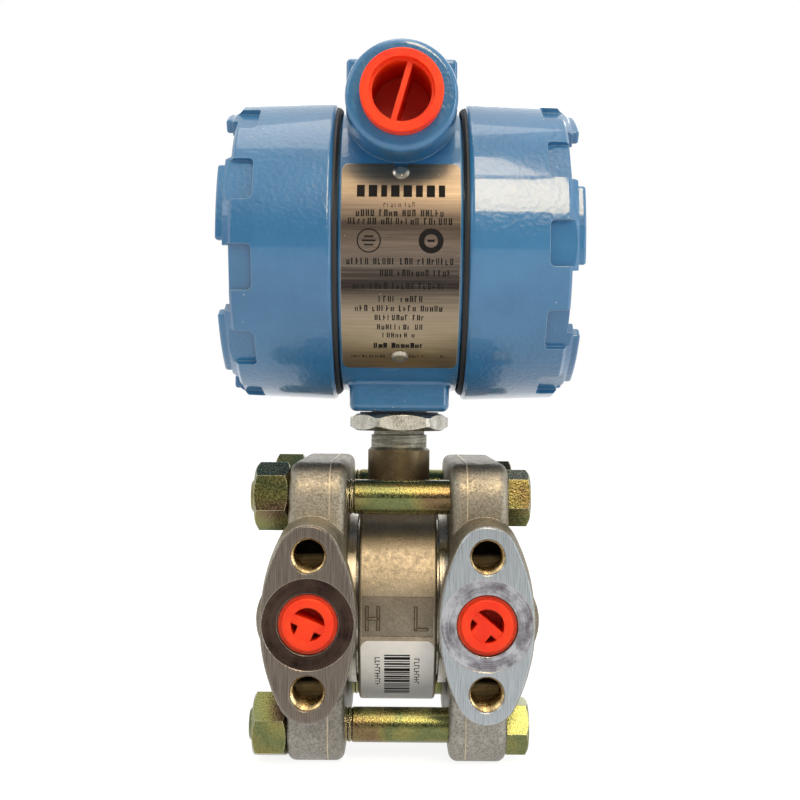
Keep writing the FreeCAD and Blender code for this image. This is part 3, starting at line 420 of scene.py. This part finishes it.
def machinedSteel():
    look = turnedLook
    steel = newMaterial("machinedSteel", {"Metallic": 1.0})
    rings = noise(steel, coords(steel, stretch=look["rings"]), 1.0, 2.0)
    link(steel, twoTone(steel, rings, 0.3, 0.7, look["tones"]), "Base Color")
    patches = noise(steel, coords(steel), look["roughSize"], 3.0)
    link(steel, fade(steel, patches, 0.3, 0.7, *look["rough"]), "Roughness")
    soft, edge = roundedEdges(steel, look["edgeRadius"])
    link(steel, bump(steel, rings, look["ringDepth"], 1.0, soft), "Normal")
    return steel


nutLook = {
    "tones": (tint(140, 134, 120), tint(222, 220, 210)), "grainSize": 1900.0, "cloudSize": 190.0,
    "speck": tint(92, 86, 76), "speckSize": 900.0, "speckShare": 0.6,
    # edge: a painted highlight along the nut's rounded edges
    "edge": tint(228, 226, 218), "edgeHighlightShare": 0.5, "edgeRadius": 0.3 * mm,
    "rough": (0.34, 0.52), "grainDepth": 0.035 * mm,
}


def blastedSteel():
    look = nutLook
    steel = newMaterial("blastedSteel", {"Metallic": 1.0})
    spot = coords(steel)
    grain = noise(steel, spot, look["grainSize"], 3.0, 0.65)
    cloud = noise(steel, spot, look["cloudSize"], 3.0, 0.6)
    tone = twoTone(steel, blend(steel, 0.45, grain, cloud), 0.36, 0.58, look["tones"])
    speck = fade(steel, noise(steel, spot, look["speckSize"], 2.0, 0.5), 0.64, 0.70)
    tone = mixed(steel, times(steel, speck, look["speckShare"]), tone, look["speck"])
    soft, edge = roundedEdges(steel, look["edgeRadius"])
    # painted highlight along the rounded edges
    link(steel, mixed(steel, times(steel, edge, look["edgeHighlightShare"]), tone, look["edge"]), "Base Color")
    link(steel, fade(steel, grain, 0.3, 0.7, *look["rough"]), "Roughness")
    link(steel, bump(steel, grain, look["grainDepth"], 1.0, soft), "Normal")
    return steel


zincLook = {
    # plating tints, from rose through gold to green
    "tints": [(0.28, tint(124, 98, 76)), (0.42, tint(136, 130, 82)), (0.52, tint(112, 120, 80)),
              (0.62, tint(138, 136, 84)), (0.76, tint(126, 102, 84))],
    "tintSize": 44.0, "grainSize": 1500.0, "grainShade": (0.60, 0.58, 0.54), "grainDepth": 0.06 * mm,
    # edge: a painted highlight along the rounded edges
    "edge": tint(232, 224, 190), "edgeHighlightShare": 0.8, "edgeRadius": 0.3 * mm,
    "rough": (0.17, 0.32),
}


def yellowZinc():
    look = zincLook
    zinc = newMaterial("yellowZinc", {"Metallic": 1.0})
    spot = coords(zinc)
    tinted = ramp(zinc, noise(zinc, spot, look["tintSize"], 1.0, 0.5, 0.4), look["tints"])
    grain = noise(zinc, spot, look["grainSize"], 3.0, 0.6)
    shade = twoTone(zinc, grain, 0.30, 0.62, (look["grainShade"], white))
    tone = mixed(zinc, 1.0, tinted, shade, "MULTIPLY")
    soft, edge = roundedEdges(zinc, look["edgeRadius"])
    # painted highlight along the rounded edges
    link(zinc, mixed(zinc, times(zinc, edge, look["edgeHighlightShare"]), tone, look["edge"]), "Base Color")
    link(zinc, fade(zinc, grain, 0.3, 0.7, *look["rough"]), "Roughness")
    link(zinc, bump(zinc, grain, look["grainDepth"], 1.0, soft), "Normal")
    return zinc


plateLook = {
    # painted reflection bands down the plate, from its lower end to its top, with height over the barrel's axis
    "low": -40.0 * mm, "high": 23.0 * mm,
    "tones": [(0.0, tint(184, 168, 142)), (0.16, tint(150, 136, 116)), (0.32, tint(48, 42, 40)),
              (0.45, tint(84, 76, 70)), (0.63, tint(150, 134, 120)), (0.76, tint(90, 82, 78)),
              (0.88, tint(112, 102, 94)), (1.0, tint(146, 132, 114))],
    "fine": (60.0, 5200.0, 5200.0), "fineShade": (0.66, 0.65, 0.64), "fineDepth": 0.010 * mm,
    "broad": (20.0, 900.0, 900.0), "broadTone": tint(164, 154, 136), "broadShare": 0.22,
    "dust": {"size": 420.0, "core": 0.05, "rim": 0.09, "patchSize": 130.0, "patchLow": 0.56, "patchHigh": 0.60},
    "dustColour": tint(206, 206, 202), "dustShare": 0.7,
    # edge: a painted highlight along the plate's edges
    "edge": tint(226, 222, 208), "edgeRadius": 0.28 * mm,
    "rough": (0.30, 0.44), "anisotropy": 0.4,
}


def brushedPlate():
    look = plateLook
    plate = newMaterial("brushedPlate", {"Metallic": 1.0, "Anisotropic": look["anisotropy"]})
    centre = (0, 0, barrelZ)
    spot = coords(plate, centre)
    x, y, z = parts(plate, spot)
    along = noise(plate, coords(plate, centre, look["fine"]), 1.0, 3.0, 0.62)
    broad = noise(plate, coords(plate, centre, look["broad"]), 1.0, 2.0, 0.5)
    # painted reflection bands by height
    tone = ramp(plate, fade(plate, z, look["low"], look["high"]), look["tones"])
    scratch = twoTone(plate, along, 0.32, 0.62, (look["fineShade"], white))
    tone = mixed(plate, 1.0, tone, scratch, "MULTIPLY")
    tone = mixed(plate, fade(plate, broad, 0.45, 0.75, 0.0, look["broadShare"]), tone, look["broadTone"])
    fleck = flecks(plate, spot, look["dust"])
    tone = mixed(plate, times(plate, fleck, look["dustShare"]), tone, look["dustColour"])
    soft, edge = roundedEdges(plate, look["edgeRadius"], 0.01, 0.06)
    # painted highlight along the plate's edges
    link(plate, mixed(plate, edge, tone, look["edge"]), "Base Color")
    link(plate, fade(plate, along, 0.3, 0.7, *look["rough"]), "Roughness")
    link(plate, bump(plate, along, look["fineDepth"], 1.0, soft), "Normal")
    return plate


plugLook = {
    "tones": (tint(222, 42, 4), tint(238, 62, 8)), "inside": tint(220, 40, 8),
    "cupRadius": 9.6 * mm, "cupRim": 61.0 * mm, "cupDeep": 52.0 * mm,  # painted shade in the cup, from its rim to deep inside
    "roughness": 0.45, "specular": 0.35, "glow": 0.7, "glowDepth": 5.0 * mm,
    "edgeRadius": 0.3 * mm, "grainSize": 600.0, "grainDepth": 0.02 * mm,
}


def redPlastic():
    look = plugLook
    plastic = newMaterial("redPlastic", {
        "Roughness": look["roughness"], "Specular IOR Level": look["specular"],
        "Subsurface Weight": look["glow"], "Subsurface Scale": look["glowDepth"]})
    spot = coords(plastic)
    x, y, z = parts(plastic, spot)
    tone = twoTone(plastic, noise(plastic, spot, 90.0, 3.0), 0.3, 0.6, look["tones"])
    inCup = within(plastic, distance(plastic, x, minus(plastic, z, hubZ)), look["cupRadius"], 0.15 * mm)
    cupShadeFade = fade(plastic, maths(plastic, "ABSOLUTE", y), look["cupRim"], look["cupDeep"])
    # painted shade inside the cups
    link(plastic, mixed(plastic, times(plastic, inCup, cupShadeFade), tone, look["inside"]), "Base Color")
    soft, edge = roundedEdges(plastic, look["edgeRadius"])
    grain = noise(plastic, spot, look["grainSize"], 2.0)
    link(plastic, bump(plastic, grain, look["grainDepth"], 1.0, soft), "Normal")
    return plastic


def plainMaterial(name, dark, light, roughness, metallic=0.0, size=600.0, depth=0.02):
    material = newMaterial(name, {"Metallic": metallic})
    grain = noise(material, coords(material), size, 3.0, 0.6)
    link(material, twoTone(material, grain, 0.32, 0.68, (dark, light)), "Base Color")
    link(material, fade(material, grain, 0.3, 0.7, roughness - 0.05, roughness + 0.07), "Roughness")
    link(material, bump(material, grain, depth * mm), "Normal")
    return material


# one finish for each of the record's slots
finishes = {
    "blue_paint": bluePaint(),
    "cast_stainless_flange": castFlange(),
    "cast_stainless": castModule(),
    "machined_stainless": machinedSteel(),
    "blasted_steel": blastedSteel(),
    "yellow_zinc": yellowZinc(),
    "brushed_plate": brushedPlate(),
    "red_plastic": redPlastic(),
    "black_rubber": plainMaterial("blackRubber", (0.008, 0.008, 0.009), (0.016, 0.016, 0.017), 0.55),
    "ptfe": plainMaterial("whiteSeal", (0.74, 0.74, 0.72), (0.82, 0.82, 0.80), 0.5),
    "white_label": plainMaterial("labelPaper", tint(236, 240, 246), tint(246, 250, 254), 0.5, 0.0, 260.0, 0.01),
    "brass": plainMaterial("brass", (0.55, 0.40, 0.16), (0.68, 0.52, 0.24), 0.3, 1.0),
    "black_moulding": plainMaterial("blackMoulding", (0.012, 0.012, 0.013), (0.030, 0.030, 0.032), 0.45),
    "plated_screw": plainMaterial("platedScrew", (0.52, 0.50, 0.46), (0.70, 0.68, 0.64), 0.28, 1.0, 900.0),
    "circuit_board": plainMaterial("circuitBoard", (0.006, 0.060, 0.020), (0.012, 0.110, 0.036), 0.4, 0.0, 220.0),
}
for node in nodes.values():
    for index, current in enumerate(node.data.materials):
        node.data.materials[index] = finishes[current.name.split(".")[0]]
print("finishes done:", len(finishes))


# added pieces: each is drawn in a bmesh and then rides a body

def finishPiece(name, bm, material, body):
    mesh = bpy.data.meshes.new(name)
    bm.to_mesh(mesh)
    bm.free()
    mesh.materials.append(material)
    piece = bpy.data.objects.new(name, mesh)
    bpy.context.scene.collection.objects.link(piece)
    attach(piece, body)
    return piece


def newVerts(out):
    return [item for item in out["geom"] if isinstance(item, bmesh.types.BMVert)]


def everything(bm):
    return bm.verts[:] + bm.edges[:] + bm.faces[:]


def addBar(bm, x, rise, width, height, thickness):
    # flat bar drawn on the plane: x across, rise up, thickness out along z
    rows = max(1, int(height / (0.9 * mm)))  # short rows, so that it can bend round a barrel
    verts = bmesh.ops.create_grid(bm, x_segments=1, y_segments=rows, size=0.5)["verts"]
    bmesh.ops.scale(bm, vec=(width, height, 1.0), verts=verts)
    bmesh.ops.translate(bm, vec=(x, rise, 0.0), verts=verts)
    faces = list({face for vert in verts for face in vert.link_faces})
    top = newVerts(bmesh.ops.extrude_face_region(bm, geom=faces))
    bmesh.ops.translate(bm, vec=(0.0, 0.0, thickness), verts=top)


def addRing(bm, x, rise, inner, outer, thickness, corners=40):
    near = bmesh.ops.create_circle(bm, cap_ends=False, segments=corners, radius=inner)["verts"]
    edges = [edge for edge in bm.edges if edge.verts[0] in near]
    far = newVerts(bmesh.ops.extrude_edge_only(bm, edges=edges))
    bmesh.ops.scale(bm, vec=(outer / inner, outer / inner, 1.0), verts=far)
    faces = list({face for vert in near + far for face in vert.link_faces})
    top = newVerts(bmesh.ops.extrude_face_region(bm, geom=faces))
    bmesh.ops.translate(bm, vec=(0.0, 0.0, thickness), verts=top)
    bmesh.ops.translate(bm, vec=(x, rise, 0.0), verts=near + far + top)


def wrap(bm, radius, axisZ, sink=0.01 * mm):
    # rolls the flat drawing round a barrel whose axis runs along X
    for vert in bm.verts:
        x, rise, out = vert.co
        angle = rise / radius
        reach = radius - sink + out
        vert.co = Vector((x, -reach * math.cos(angle), axisZ + reach * math.sin(angle)))
    bmesh.ops.recalc_face_normals(bm, faces=bm.faces[:])


inkBlack = plainMaterial("blackInk", (0.004, 0.004, 0.004), (0.010, 0.009, 0.008), 0.7, 0.0, 1500.0, 0.005)
inkBlack.node_tree.nodes["Principled BSDF"].inputs["Specular IOR Level"].default_value = 0.15

printLook = {
    "thickness": 0.03 * mm,
    "seed": 7,
    # (rise, letter height, left end, right end, stroke share), in mm, with rise counted along the plate
    "rows": [
        (9.1, 1.6, -5.4, 5.6, 0.26),
        (6.4, 2.1, -14.0, 14.2, 0.46),
        (3.8, 2.1, -16.4, 16.8, 0.46),
        (-8.5, 2.0, -16.8, 16.8, 0.44),
        (-12.1, 2.0, -6.4, 16.8, 0.44),
        (-16.2, 2.0, -14.9, 15.0, 0.44),
        (-20.4, 2.0, -6.8, 7.2, 0.44),
        (-23.5, 2.0, -14.2, 14.2, 0.44),
        (-26.7, 1.9, -8.1, 8.1, 0.44),
        (-30.1, 1.9, -7.3, 7.3, 0.44),
        (-33.2, 1.9, -5.6, 5.7, 0.44),
        (-37.4, 2.1, -8.5, 8.5, 0.62),
        (-42.3, 1.2, -15.6, -3.4, 0.36),
        (-42.3, 1.2, 3.0, 8.6, 0.36),
        (-42.3, 1.2, 13.0, 15.4, 0.36),
    ],
    # heavy plain blocks where the heading goes
    "title": {"rise": 13.6, "height": 4.0, "left": -14.0, "widths": (3.2, 3.4, 2.6, 3.4, 3.4, 2.9, 3.3, 2.7),
              "inset": 0.75, "gap": 0.45},
    # two plain marks: an open ring with three bars in it, and a thick ring with one
    "openRing": {"x": -9.8, "rise": -2.2, "inner": 3.35, "outer": 3.75,
                 "bars": ((-0.9, 2.9), (-2.2, 4.2), (-3.5, 2.9)), "bar": 0.55},
    "thickRing": {"x": 9.4, "rise": -2.2, "inner": 2.1, "outer": 3.85, "bars": ((-2.2, 2.2),), "bar": 0.7},
}

wordLook = {
    # shares of a letter's height, and then of the step from one letter to the next
    "step": 0.72, "heights": (0.72, 1.0, 1.0),
    "length": (3, 8), "space": 0.75, "fit": 0.8,
    "spread": (0.8, 1.15), "upright": 0.62, "second": 0.42, "uprights": (1, 2, 2),
    "crossChance": 0.6, "crossPlaces": (0.08, 0.5, 0.92), "crossMiddle": 0.34, "crossWidth": 0.5,
    "crossHeight": 0.2,
}


def drawWords(bm, rng, rise, height, left, right, share, thickness):
    # a row of word-like marks: plain upright dashes in groups, with a space after each group
    look = wordLook
    step = height * look["step"]
    low = rise - height / 2
    x = left
    lettersLeft = rng.randint(*look["length"])
    while x + step * look["fit"] <= right:
        if lettersLeft == 0:
            lettersLeft = rng.randint(*look["length"])
            x += step * look["space"]
            continue
        lettersLeft -= 1
        tall = height * rng.choice(look["heights"])
        stroke = step * share * rng.uniform(*look["spread"])
        for offset in (0.0, step * look["second"])[:rng.choice(look["uprights"])]:
            addBar(bm, x + offset + stroke / 2, low + tall / 2, stroke * look["upright"], tall, thickness)
        if rng.random() < look["crossChance"]:
            addBar(bm, x + step * look["crossMiddle"], low + tall * rng.choice(look["crossPlaces"]),
                   step * look["crossWidth"], height * look["crossHeight"], thickness)
        x += step


def namePrint():
    look = printLook
    thickness = look["thickness"]
    rng = random.Random(look["seed"])
    bm = bmesh.new()
    for rise, height, left, right, share in look["rows"]:
        drawWords(bm, rng, rise * mm, height * mm, left * mm, right * mm, share, thickness)
    title = look["title"]
    x = title["left"]
    for width in title["widths"]:
        addBar(bm, (x + width / 2) * mm, title["rise"] * mm, (width - title["inset"]) * mm,
               title["height"] * mm, thickness)
        x += width + title["gap"]
    for ring in (look["openRing"], look["thickRing"]):
        addRing(bm, ring["x"] * mm, ring["rise"] * mm, ring["inner"] * mm, ring["outer"] * mm, thickness)
        for rise, width in ring["bars"]:
            addBar(bm, ring["x"] * mm, rise * mm, width * mm, ring["bar"] * mm, thickness)
    wrap(bm, plateRadius, barrelZ)
    return finishPiece("name_print", bm, inkBlack, "housing")


namePrint()
print("nameplate print done")

labelLook = {
    # in mm, with rise counted along the label from the ports' height
    "thickness": 0.03 * mm,
    "seed": 3,
    "bars": (0.5, 1.1, 0.4, 0.8, 0.4, 1.3, 0.6, 0.4, 0.9, 0.5, 1.2, 0.4, 0.7, 0.5, 1.0, 0.4, 0.8, 0.5),
    "barMiddle": -0.05, "barWidth": 8.3, "barTop": -14.4, "barEnd": -40.5,
    "gap": 0.42, "gapSpread": (0.7, 1.6),
    "sideRows": ((6.3, -16.0, -27.0), (-6.4, -15.6, -28.6)),  # x, top, end
    "dashWidth": 1.7, "dashHeights": (0.25, 0.4), "dashPitch": 1.35,
    "tickPlaces": (-0.7, 0.0, 0.7), "tickDrop": 0.45, "tickWidth": 0.3, "tickHeight": 0.9,
}


def labelPrint():
    look = labelLook
    thickness = look["thickness"]
    rng = random.Random(look["seed"])
    bm = bmesh.new()
    rise = look["barTop"]
    for height in look["bars"]:
        rise -= height
        if rise < look["barEnd"]:
            break
        addBar(bm, look["barMiddle"] * mm, (rise + height / 2) * mm, look["barWidth"] * mm, height * mm, thickness)
        rise -= look["gap"] * rng.uniform(*look["gapSpread"])
    for x, top, end in look["sideRows"]:
        rise = top
        while rise > end:  # sideways marks beside the bars
            addBar(bm, x * mm, rise * mm, look["dashWidth"] * mm, rng.uniform(*look["dashHeights"]) * mm, thickness)
            addBar(bm, (x + rng.choice(look["tickPlaces"])) * mm, (rise - look["tickDrop"]) * mm,
                   look["tickWidth"] * mm, look["tickHeight"] * mm, thickness)
            rise -= look["dashPitch"]
    wrap(bm, labelRadius, portZ)
    return finishPiece("label_print", bm, inkBlack, "sensor")


labelPrint()
print("label print done")

markLook = {
    # the letters of the two sides, in mm from the ports' height
    "stroke": 0.62, "top": 1.7, "low": -5.8, "left": (-10.1, -5.9), "right": (5.5, 9.6),
    "rise": 0.34,
    "shadowMargin": 0.30, "shadowRise": 0.12,  # painted shadow line round each stroke
    "step": 0.01, "sink": 0.05 * mm,
    "panelDepth": 0.5 * mm,  # the panel lies this far under the label's face
}
markShade = plainMaterial("markShade", tint(74, 62, 48), tint(104, 90, 70), 0.5, 1.0, 900.0, 0.02)


def markStrokes():
    # plain strokes for H and L, as (x, rise, width, height) in mm
    look = markLook
    stroke = look["stroke"]
    tall = look["top"] - look["low"]
    centre = (look["top"] + look["low"]) / 2
    left, right = look["left"]
    strokes = [(x, centre, stroke, tall) for x in (left + stroke / 2, right - stroke / 2)]
    strokes.append(((left + right) / 2, centre, right - left, stroke))
    left, right = look["right"]
    strokes.append((left + stroke / 2, centre, stroke, tall))
    strokes.append(((left + right) / 2, look["low"] + stroke / 2, right - left, stroke))
    return strokes


def sideMarks(name, margin, rise, material):
    look = markLook
    bm = bmesh.new()
    for index, (x, centre, width, height) in enumerate(markStrokes()):
        lift = (rise - look["step"] * index) * mm  # crossing strokes don't share a face
        addBar(bm, x * mm, centre * mm, (width + 2 * margin) * mm, (height + 2 * margin) * mm, lift)
    wrap(bm, labelRadius - look["panelDepth"], portZ, look["sink"])
    return finishPiece(name, bm, material, "sensor")


sideMarks("side_marks", 0.0, markLook["rise"], finishes["cast_stainless"])
# a dark piece under each letter: a painted shadow round its strokes
sideMarks("side_mark_shadows", markLook["shadowMargin"], markLook["shadowRise"], markShade)
print("side marks done")

seamLook = {
    "rimY": 42.55 * mm, "corner": 11.1 * mm,  # the flange's rim
    "middle": 9.1 * mm,  # from the flange's inner face
    "width": 0.45 * mm, "proud": 0.2 * mm, "depth": 0.4 * mm, "segments": 10,
    "padReach": 30.0 * mm, "foot": 2.0 * mm,  # where the pad and the flange's foot end it
}
seamSteel = plainMaterial("seamSteel", tint(168, 156, 134), tint(206, 196, 176), 0.5, 1.0, 1300.0, 0.04)


def castSeam(node, name):
    # the fine ridge that the mould's parting leaves round the rim of a flange
    look = seamLook
    low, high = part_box(node)
    side = 1 if low.x > 0 else -1
    middleX = side * (min(abs(low.x), abs(high.x)) + look["middle"])
    wide = 2 * look["rimY"] + 2 * look["proud"]
    tall = high.z - low.z + 2 * look["proud"]
    bm = bmesh.new()
    bmesh.ops.create_grid(bm, x_segments=1, y_segments=1, size=0.5)
    bmesh.ops.scale(bm, vec=(wide, tall, 1.0), verts=bm.verts[:])
    bmesh.ops.bevel(bm, geom=bm.verts[:], offset=look["corner"], segments=look["segments"], profile=0.5,
                    affect="VERTICES", material=-1)
    bmesh.ops.inset_region(bm, faces=bm.faces[:], thickness=look["depth"], use_even_offset=True, use_boundary=True)
    middle = max(bm.faces, key=lambda face: face.calc_area())
    bmesh.ops.delete(bm, geom=[middle], context="FACES")
    top = newVerts(bmesh.ops.extrude_face_region(bm, geom=bm.faces[:]))
    bmesh.ops.translate(bm, vec=(0, 0, look["width"]), verts=top)
    # the flat drawing is stood up in the flange's middle plane
    turn = Matrix(((0, 0, 1, middleX - look["width"] / 2), (1, 0, 0, 0), (0, 1, 0, portZ), (0, 0, 0, 1)))
    bmesh.ops.transform(bm, matrix=turn, verts=bm.verts[:])
    bmesh.ops.bisect_plane(bm, geom=everything(bm), plane_co=(0, 0, low.z + look["foot"]), plane_no=(0, 0, -1),
                           clear_outer=True)
    for sign in (-1, 1):
        cut = (0, 0, portZ + sign * look["padReach"])
        bmesh.ops.bisect_plane(bm, geom=everything(bm), plane_co=cut, plane_no=(0, 0, sign))
    centres = [(face, face.calc_center_median()) for face in bm.faces]
    behind = [face for face, spot in centres if spot.y < 0 and abs(spot.z - portZ) < look["padReach"]]
    bmesh.ops.delete(bm, geom=behind, context="FACES")
    bmesh.ops.holes_fill(bm, edges=[edge for edge in bm.edges if edge.is_boundary], sides=8)
    bmesh.ops.recalc_face_normals(bm, faces=bm.faces[:])
    return finishPiece(name, bm, seamSteel, "sensor")


castSeam("flange_high", "cast_seam_high")
castSeam("flange_low", "cast_seam_low")
print("cast seams done")

threadLook = {
    "depth": 0.42 * mm, "pitch": 1.27 * mm, "share": 0.3,  # half a ridge's width, as a share of the pitch
    "turns": 10, "steps": 32, "start": 0.6 * mm, "bite": 0.02 * mm,
}
threadSteel = plainMaterial("threadSteel", tint(156, 130, 84), tint(222, 198, 148), 0.26, 1.0, 900.0)


def holeThreads(side, name):
    # a helical ridge inside each of the two tapped holes of one pad
    look = threadLook
    bm = bmesh.new()
    half = look["pitch"] * look["share"]
    outer = holeRadius + look["bite"]
    inner = holeRadius - look["depth"]
    for sign in (-1, 1):
        x = side * portX
        z = portZ + sign * holeRise
        y = padY + look["start"] + half
        section = ((outer, -half), (inner, 0.0), (outer, half))
        corners = [bm.verts.new((x + reach, y + along, z)) for reach, along in section]
        edges = [bm.edges.new(pair) for pair in zip(corners, corners[1:] + corners[:1])]
        bmesh.ops.spin(bm, geom=corners + edges, cent=(x, y, z), axis=(0, 1, 0), angle=math.tau * look["turns"],
                       steps=look["steps"] * look["turns"], dvec=(0, look["pitch"] / look["steps"], 0),
                       use_merge=False)
    bmesh.ops.holes_fill(bm, edges=[edge for edge in bm.edges if edge.is_boundary], sides=3)
    bmesh.ops.recalc_face_normals(bm, faces=bm.faces[:])
    return finishPiece(name, bm, threadSteel, "sensor")


holeThreads(-1, "hole_threads_high")
holeThreads(1, "hole_threads_low")
print("threads done")

cameraLook = {
    "lens": 52.958, "sensor": 36.0,
    "place": (-0.03, -410.32, 66.61),  # from the process axis, in mm
    "pitch": 0.1805, "yaw": 0.0391, "roll": 0.4586,  # degrees
    "near": 0.01,
}


def addCamera():
    look = cameraLook
    data = bpy.data.cameras.new("camera")
    data.lens = look["lens"]
    data.sensor_width = look["sensor"]
    data.clip_start = look["near"]
    camera = bpy.data.objects.new("camera", data)
    bpy.context.scene.collection.objects.link(camera)
    turn = (Matrix.Rotation(math.radians(-look["yaw"]), 4, "Z")
            @ Matrix.Rotation(math.radians(90 + look["pitch"]), 4, "X")
            @ Matrix.Rotation(math.radians(look["roll"]), 4, "Z"))
    place = Vector(look["place"]) * mm + Vector((0, 0, portZ))
    camera.matrix_world = Matrix.Translation(place) @ turn
    bpy.context.scene.camera = camera


studioLook = {
    "lights": [
        # name, place, width, height, watts, colour
        ("highLight", (0.13, -0.61, 1.23), 0.19, 0.34, 2.0, (1.0, 0.80, 0.58)),
        ("ceilingLight", (0.20, -0.99, 0.905), 0.24, 0.55, 7.2, (1.0, 0.78, 0.48)),
        ("overheadLight", (-0.10, 0.05, 1.50), 0.80, 0.50, 3.0, (1.0, 0.94, 0.86)),
        ("leftLight", (-1.05, -0.45, 0.80), 0.5, 0.6, 2.0, (1.0, 0.98, 0.96)),
        ("rightLight", (1.0, -0.45, 0.30), 0.25, 0.8, 3.5, (0.92, 0.96, 1.0)),
        ("backLight", (0.1, 1.05, 0.55), 0.9, 0.6, 2.5, (1.0, 1.0, 1.0)),
    ],
    "aimRise": 60 * mm,  # the lamps point this far over the ports
    "fill": 0.64,
    "front": 0.22,  # how bright the room behind the viewer is, against a ceiling of 1
    "roomTurn": (0.1, -0.7), "roomRise": (0.15, 0.75),  # how the room brightens round and up
}

floorLook = {"size": 3.0, "drop": 0.2 * mm, "white": 0.86, "shade": 0.30, "bounce": 0.80}


def addLights():
    look = studioLook
    aim = Vector((0, 0, portZ + look["aimRise"]))
    for name, place, width, height, watts, colour in look["lights"]:
        data = bpy.data.lights.new(name, "AREA")
        data.shape = "RECTANGLE"
        data.size = width
        data.size_y = height
        data.energy = watts
        data.color = colour
        lamp = bpy.data.objects.new(name, data)
        bpy.context.scene.collection.objects.link(lamp)
        lamp.location = place
        lamp.rotation_euler = (aim - Vector(place)).to_track_quat("-Z", "Y").to_euler()


def addWorld():
    # white to the camera, a room that darkens towards the front in reflections, and an even fill otherwise
    look = studioLook
    world = bpy.data.worlds.new("studio")
    bpy.context.scene.world = world
    world.use_nodes = True
    world.node_tree.nodes.clear()
    path = addNode(world, "LightPath").outputs
    seen = maths(world, "MAXIMUM", path["Is Camera Ray"], path["Is Transmission Ray"])
    x, y, z = parts(world, addNode(world, "TexCoord").outputs["Generated"])
    ahead = fade(world, y, *look["roomTurn"])
    level = maths(world, "MAXIMUM", fade(world, z, *look["roomRise"]), minus(world, 1.0, ahead))
    glow = fade(world, level, 0.0, 1.0, look["front"], 1.0)
    grey = addNode(world, "CombineColor", {"Red": glow, "Green": glow, "Blue": glow}).outputs["Color"]
    plain = addNode(world, "Background", {"Color": (*white, 1)}).outputs[0]
    soft = addNode(world, "Background", {"Color": (*white, 1), "Strength": look["fill"]}).outputs[0]
    room = addNode(world, "Background", {"Color": grey}).outputs[0]
    lit = addNode(world, "MixShader", {0: path["Is Glossy Ray"], 1: soft, 2: room}).outputs[0]
    both = addNode(world, "MixShader", {0: seen, 1: lit, 2: plain}).outputs[0]
    addNode(world, "OutputWorld", {"Surface": both})


def addFloor():
    look = floorLook
    bm = bmesh.new()
    bmesh.ops.create_grid(bm, x_segments=1, y_segments=1, size=look["size"])
    bmesh.ops.translate(bm, vec=(0, 0, cadBox[0].z - look["drop"]), verts=bm.verts[:])
    mesh = bpy.data.meshes.new("floor")
    bm.to_mesh(mesh)
    bm.free()
    paper = bpy.data.materials.new("floorPaper")
    paper.use_nodes = True
    paper.node_tree.nodes.clear()
    path = addNode(paper, "LightPath").outputs
    seen = maths(paper, "MAXIMUM", path["Is Camera Ray"], path["Is Transmission Ray"])
    seen = maths(paper, "MAXIMUM", seen, path["Is Glossy Ray"])
    plain = addNode(paper, "Emission", {"Color": (*white, 1), "Strength": look["white"]}).outputs[0]
    shade = addNode(paper, "BsdfDiffuse", {"Color": (look["shade"],) * 3 + (1,)}).outputs[0]
    bounce = addNode(paper, "BsdfDiffuse", {"Color": (look["bounce"],) * 3 + (1,)}).outputs[0]
    bright = addNode(paper, "AddShader", {0: plain, 1: shade}).outputs[0]  # only the shadow falls below white
    both = addNode(paper, "MixShader", {0: seen, 1: bounce, 2: bright}).outputs[0]
    addNode(paper, "OutputMaterial", {"Surface": both})
    mesh.materials.append(paper)
    floor = bpy.data.objects.new("floor", mesh)
    bpy.context.scene.collection.objects.link(floor)


addCamera()
addLights()
addWorld()
addFloor()
bpy.context.scene.view_settings.view_transform = "Standard"
print("studio done")
